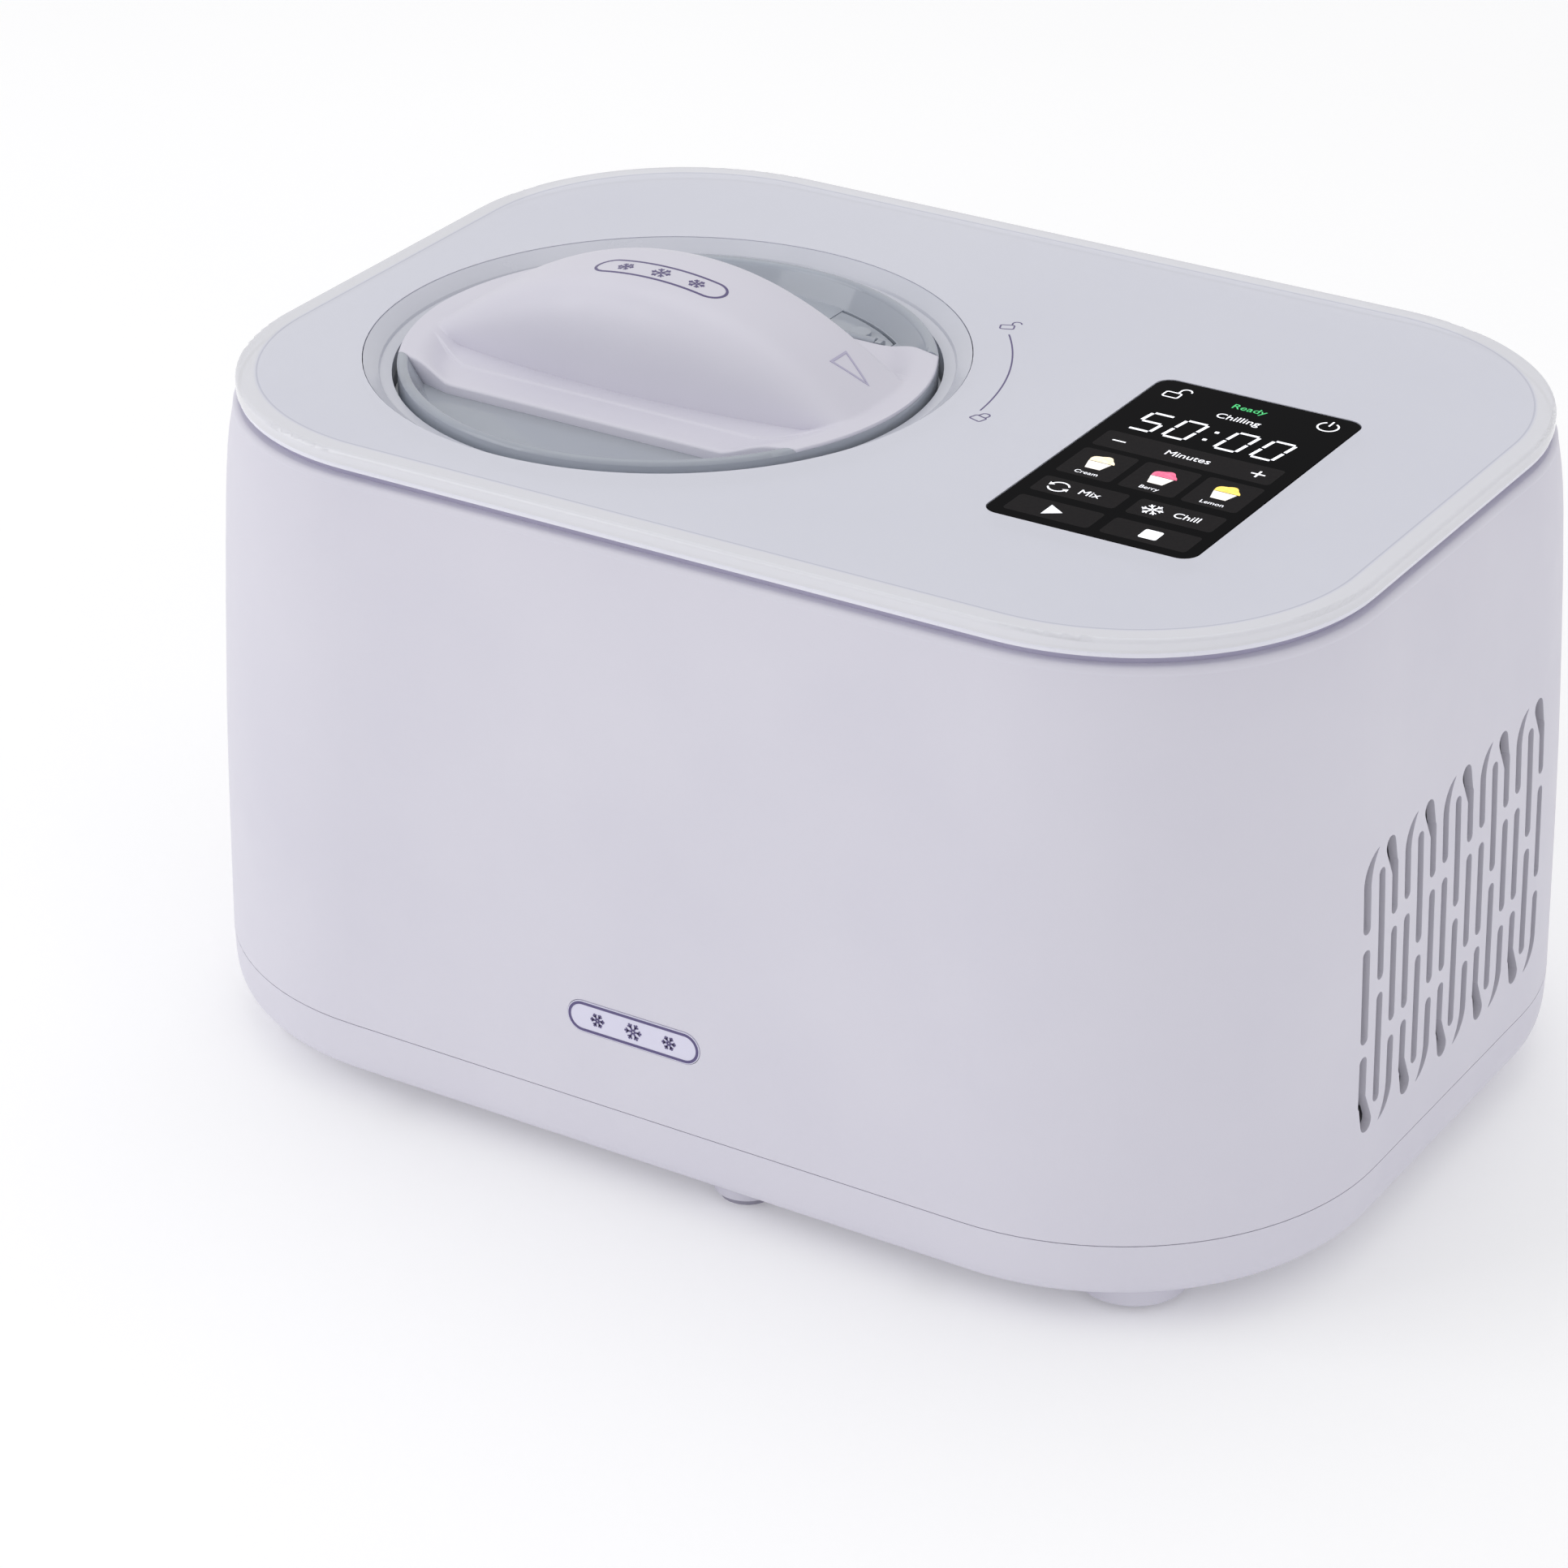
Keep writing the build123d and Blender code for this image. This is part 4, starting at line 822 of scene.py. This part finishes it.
def draw_signs(mesh):
    """Minus, plus, turning arrows and snowflake."""
    signs = (
        [(end, MINUTES_Y) for end in MINUS],
        [(PLUS - PLUS_HALF, MINUTES_Y), (PLUS + PLUS_HALF, MINUTES_Y)],
        [(PLUS, MINUTES_Y - PLUS_HALF), (PLUS, MINUTES_Y + PLUS_HALF)],
    )
    for line in signs:
        add_stroke(mesh, line, SIGN_LINE, *ICON_HEIGHTS)
    for start in (20.0, 200.0):
        loop = arc(MIX_X, MODES_Y, MIX_R, start, start + MIX_SWEEP)
        add_stroke(mesh, loop, RING_LINE, *ICON_HEIGHTS)
        add_plate(mesh, around(ARROW, *loop[-1], turn=start + MIX_SWEEP), *ICON_HEIGHTS)
    snowflake(mesh, CHILL_X, MODES_Y, CHILL_SIZE, THIN_LINE, *ICON_HEIGHTS)


def draw_buttons(mesh):
    """Play, stop, power and an open padlock."""
    play = [(PLAY_BACK, BUTTONS_Y - PLAY_HALF), (PLAY_TIP, BUTTONS_Y), (PLAY_BACK, BUTTONS_Y + PLAY_HALF)]
    add_plate(mesh, play, *ICON_HEIGHTS)
    add_plate(mesh, rounded(*STOP, ICON_CORNER), *ICON_HEIGHTS)
    add_stroke(mesh, arc(POWER_X, POWER_Y, POWER_R, *POWER_ARC), RING_LINE, *ICON_HEIGHTS)
    add_stroke(mesh, [(POWER_X, y) for y in POWER_BAR], RING_LINE, *ICON_HEIGHTS)
    add_stroke(mesh, rounded(*SCREEN_LOCK, ICON_CORNER), THIN_LINE, *ICON_HEIGHTS, closed=True)
    shackle = [SHACKLE_START] + arc(*SCREEN_SHACKLE, 180, 0, SHACKLE_STEPS)
    add_stroke(mesh, shackle, THIN_LINE, *ICON_HEIGHTS)


def draw_white(mesh):
    """Everything white but the words."""
    draw_clock(mesh)
    draw_signs(mesh)
    draw_buttons(mesh)


def draw_tubs(mesh):
    """The three tubs under the scoops."""
    for x, y in TUBS:
        tub = [(x - TUB_FOOT_HALF, y + TUB_FOOT), (x + TUB_FOOT_HALF, y + TUB_FOOT),
               (x + TUB_RIM_HALF, y + TUB_RIM), (x - TUB_RIM_HALF, y + TUB_RIM)]
        add_plate(mesh, tub, *ICON_HEIGHTS)


def scoop(mesh, x, y):
    """Lobed swirl over a tub."""
    crown = []
    for k in range(SCOOP_STEPS + 1):
        turn = math.pi * k / SCOOP_STEPS
        radius = SCOOP_R + LOBE_DEPTH * math.cos(SCOOP_LOBES * turn)
        crown.append((x + radius * math.cos(turn), y + SCOOP_Y + radius * SCOOP_TALL * math.sin(turn)))
    add_plate(mesh, crown, *ICON_HEIGHTS)


def make_screen():
    """Every lit element of the touch screen, as separate pieces by colour."""
    white = printed("screen_white_look", srgb(240, 241, 245), srgb(226, 228, 236), glow=0.85)
    tile = printed("screen_tile_look", srgb(31, 29, 30), srgb(27, 25, 27), glow=0.05, roughness=0.5)
    tile.shader.inputs["Specular IOR Level"].default_value = 0.03
    green = printed("screen_green_look", srgb(60, 190, 110), srgb(48, 172, 98), glow=0.8)
    screen_piece("screen_tiles", draw_tiles, tile)
    screen_piece("screen_symbols", draw_white, white)
    tub = printed("screen_tub_look", srgb(236, 232, 226), srgb(216, 210, 204), glow=0.7)
    screen_piece("screen_tubs", draw_tubs, tub)
    flavours = (
        ("cream", srgb(244, 232, 206), srgb(226, 208, 172)),
        ("berry", srgb(232, 106, 140), srgb(206, 72, 112)),
        ("lemon", srgb(246, 216, 106), srgb(232, 190, 70)),
    )
    for (name, first, second), (x, y) in zip(flavours, TUBS):
        look = printed("screen_" + name + "_look", first, second, glow=0.7)
        screen_piece("screen_scoop_" + name, lambda mesh, x=x, y=y: scoop(mesh, x, y), look)
    labels = (
        ("screen_word_ready", "Ready", -0.6, 50.6, 5.0, green),
        ("screen_word_state", "Chilling", 0.0, 41.6, 5.2, white),
        ("screen_word_minutes", "Minutes", 0.0, MINUTES_Y, 5.0, white),
        ("screen_word_first", "Cream", -21.4, -19.4, 3.0, white),
        ("screen_word_second", "Berry", 0.5, -19.4, 3.0, white),
        ("screen_word_third", "Lemon", 22.2, -19.4, 3.0, white),
        ("screen_word_mix", "Mix", -12.8, MODES_Y, 5.0, white),
        ("screen_word_chill", "Chill", 20.8, MODES_Y, 5.0, white),
    )
    for name, text, x, y, size, look in labels:
        words(name, text, x, y, size, look)


# ---------------------------------------------------------------- room, lights, camera, in metres
CAMERA_PLACE = Vector((0.76486, -1.30429, 0.87626))
CAMERA_AZIMUTH = 31.695
CAMERA_ELEVATION = 27.612
CAMERA_ROLL = -0.08
CAMERA_LENS = 116.735
SENSOR = 36.0
NEAREST, FARTHEST = 0.05, 40.0
FLOOR_R = 9.0
FLOOR_SEGMENTS = 96
FLOOR_GLOW = 0.13
WORLD_STRENGTH = 0.74
LIGHT_TARGET = Vector((0.0, 0.0, 0.12))
LIGHTS = (                                 # name, place, size and watts
    ("key_left", (-1.7, -1.5, 1.5), (1.6, 1.4), 12.0),
    ("top_box", (-0.3, 0.5, 2.2), (1.8, 1.4), 6.0),
    ("fill_right", (2.2, -0.4, 1.1), (1.2, 1.2), 1.5),
)


def make_floor():
    """Round pale floor that glows faintly."""
    mesh = bmesh.new()
    bmesh.ops.create_circle(mesh, cap_ends=True, segments=FLOOR_SEGMENTS, radius=FLOOR_R)
    data = bpy.data.meshes.new("floor")
    mesh.to_mesh(data)
    mesh.free()
    floor = bpy.data.objects.new("floor", data)
    bpy.context.scene.collection.objects.link(floor)
    look = Look("floor_look", Roughness=0.6)
    look.colour(srgb(250, 250, 251), srgb(248, 248, 249), scale=2.0)
    look.relief(height=0.00002, scale=300.0)
    look.shader.inputs["Emission Color"].default_value = (1.0, 1.0, 1.0, 1.0)
    look.shader.inputs["Emission Strength"].default_value = FLOOR_GLOW
    data.materials.append(look.material)


def area_light(name, place, size, power):
    """Rectangular lamp that faces the object."""
    lamp = bpy.data.lights.new(name, "AREA")
    lamp.shape = "RECTANGLE"
    lamp.size, lamp.size_y = size
    lamp.energy = power
    holder = bpy.data.objects.new(name, lamp)
    holder.location = place
    holder.rotation_euler = (LIGHT_TARGET - Vector(place)).to_track_quat("-Z", "Y").to_euler()
    bpy.context.scene.collection.objects.link(holder)


def make_lights():
    """Even white surroundings and three soft boxes."""
    world = bpy.data.worlds.new("studio")
    world.use_nodes = True
    backdrop = world.node_tree.nodes["Background"]
    backdrop.inputs["Color"].default_value = (1.0, 1.0, 1.0, 1.0)
    backdrop.inputs["Strength"].default_value = WORLD_STRENGTH
    bpy.context.scene.world = world
    for light in LIGHTS:
        area_light(*light)


def make_camera():
    """Camera on the object's front right, a little above it."""
    data = bpy.data.cameras.new("camera")
    data.lens = CAMERA_LENS
    data.sensor_width = SENSOR
    data.clip_start, data.clip_end = NEAREST, FARTHEST
    camera = bpy.data.objects.new("camera", data)
    camera.location = CAMERA_PLACE
    tilt = math.radians(90.0 - CAMERA_ELEVATION)
    turned = Euler((tilt, 0.0, math.radians(CAMERA_AZIMUTH)), "XYZ").to_quaternion()
    roll = Euler((0.0, 0.0, math.radians(CAMERA_ROLL)), "XYZ").to_quaternion()
    camera.rotation_euler = (turned @ roll).to_euler()
    bpy.context.scene.collection.objects.link(camera)
    bpy.context.scene.camera = camera
    bpy.context.scene.view_settings.view_transform = "Standard"


# ---------------------------------------------------------------- whole scene
looks = slot_looks()
# The collar's darker, greyer lavender is painted shade: the shadow inside the funnel round the lid opening.
looks["bowl_collar"] = moulded("bowl_collar_painted_shade_look", srgb(210, 211, 221), srgb(204, 206, 216), 0.18, 0.28,
                               grain=900.0, height=0.000006)
dress_frame(looks)
ink = printed("violet_ink_look", srgb(92, 82, 128), srgb(84, 74, 120))
pointer = moulded("lid_pointer_look", srgb(188, 184, 206), srgb(182, 178, 202), 0.36, 0.46)
make_grip(looks["lavender_grip"])
make_lid_mark(pointer)
make_front_badge(ink)
make_lid_badge(ink)
make_panel_prints(ink)
make_screen()
make_floor()
make_lights()
make_camera()
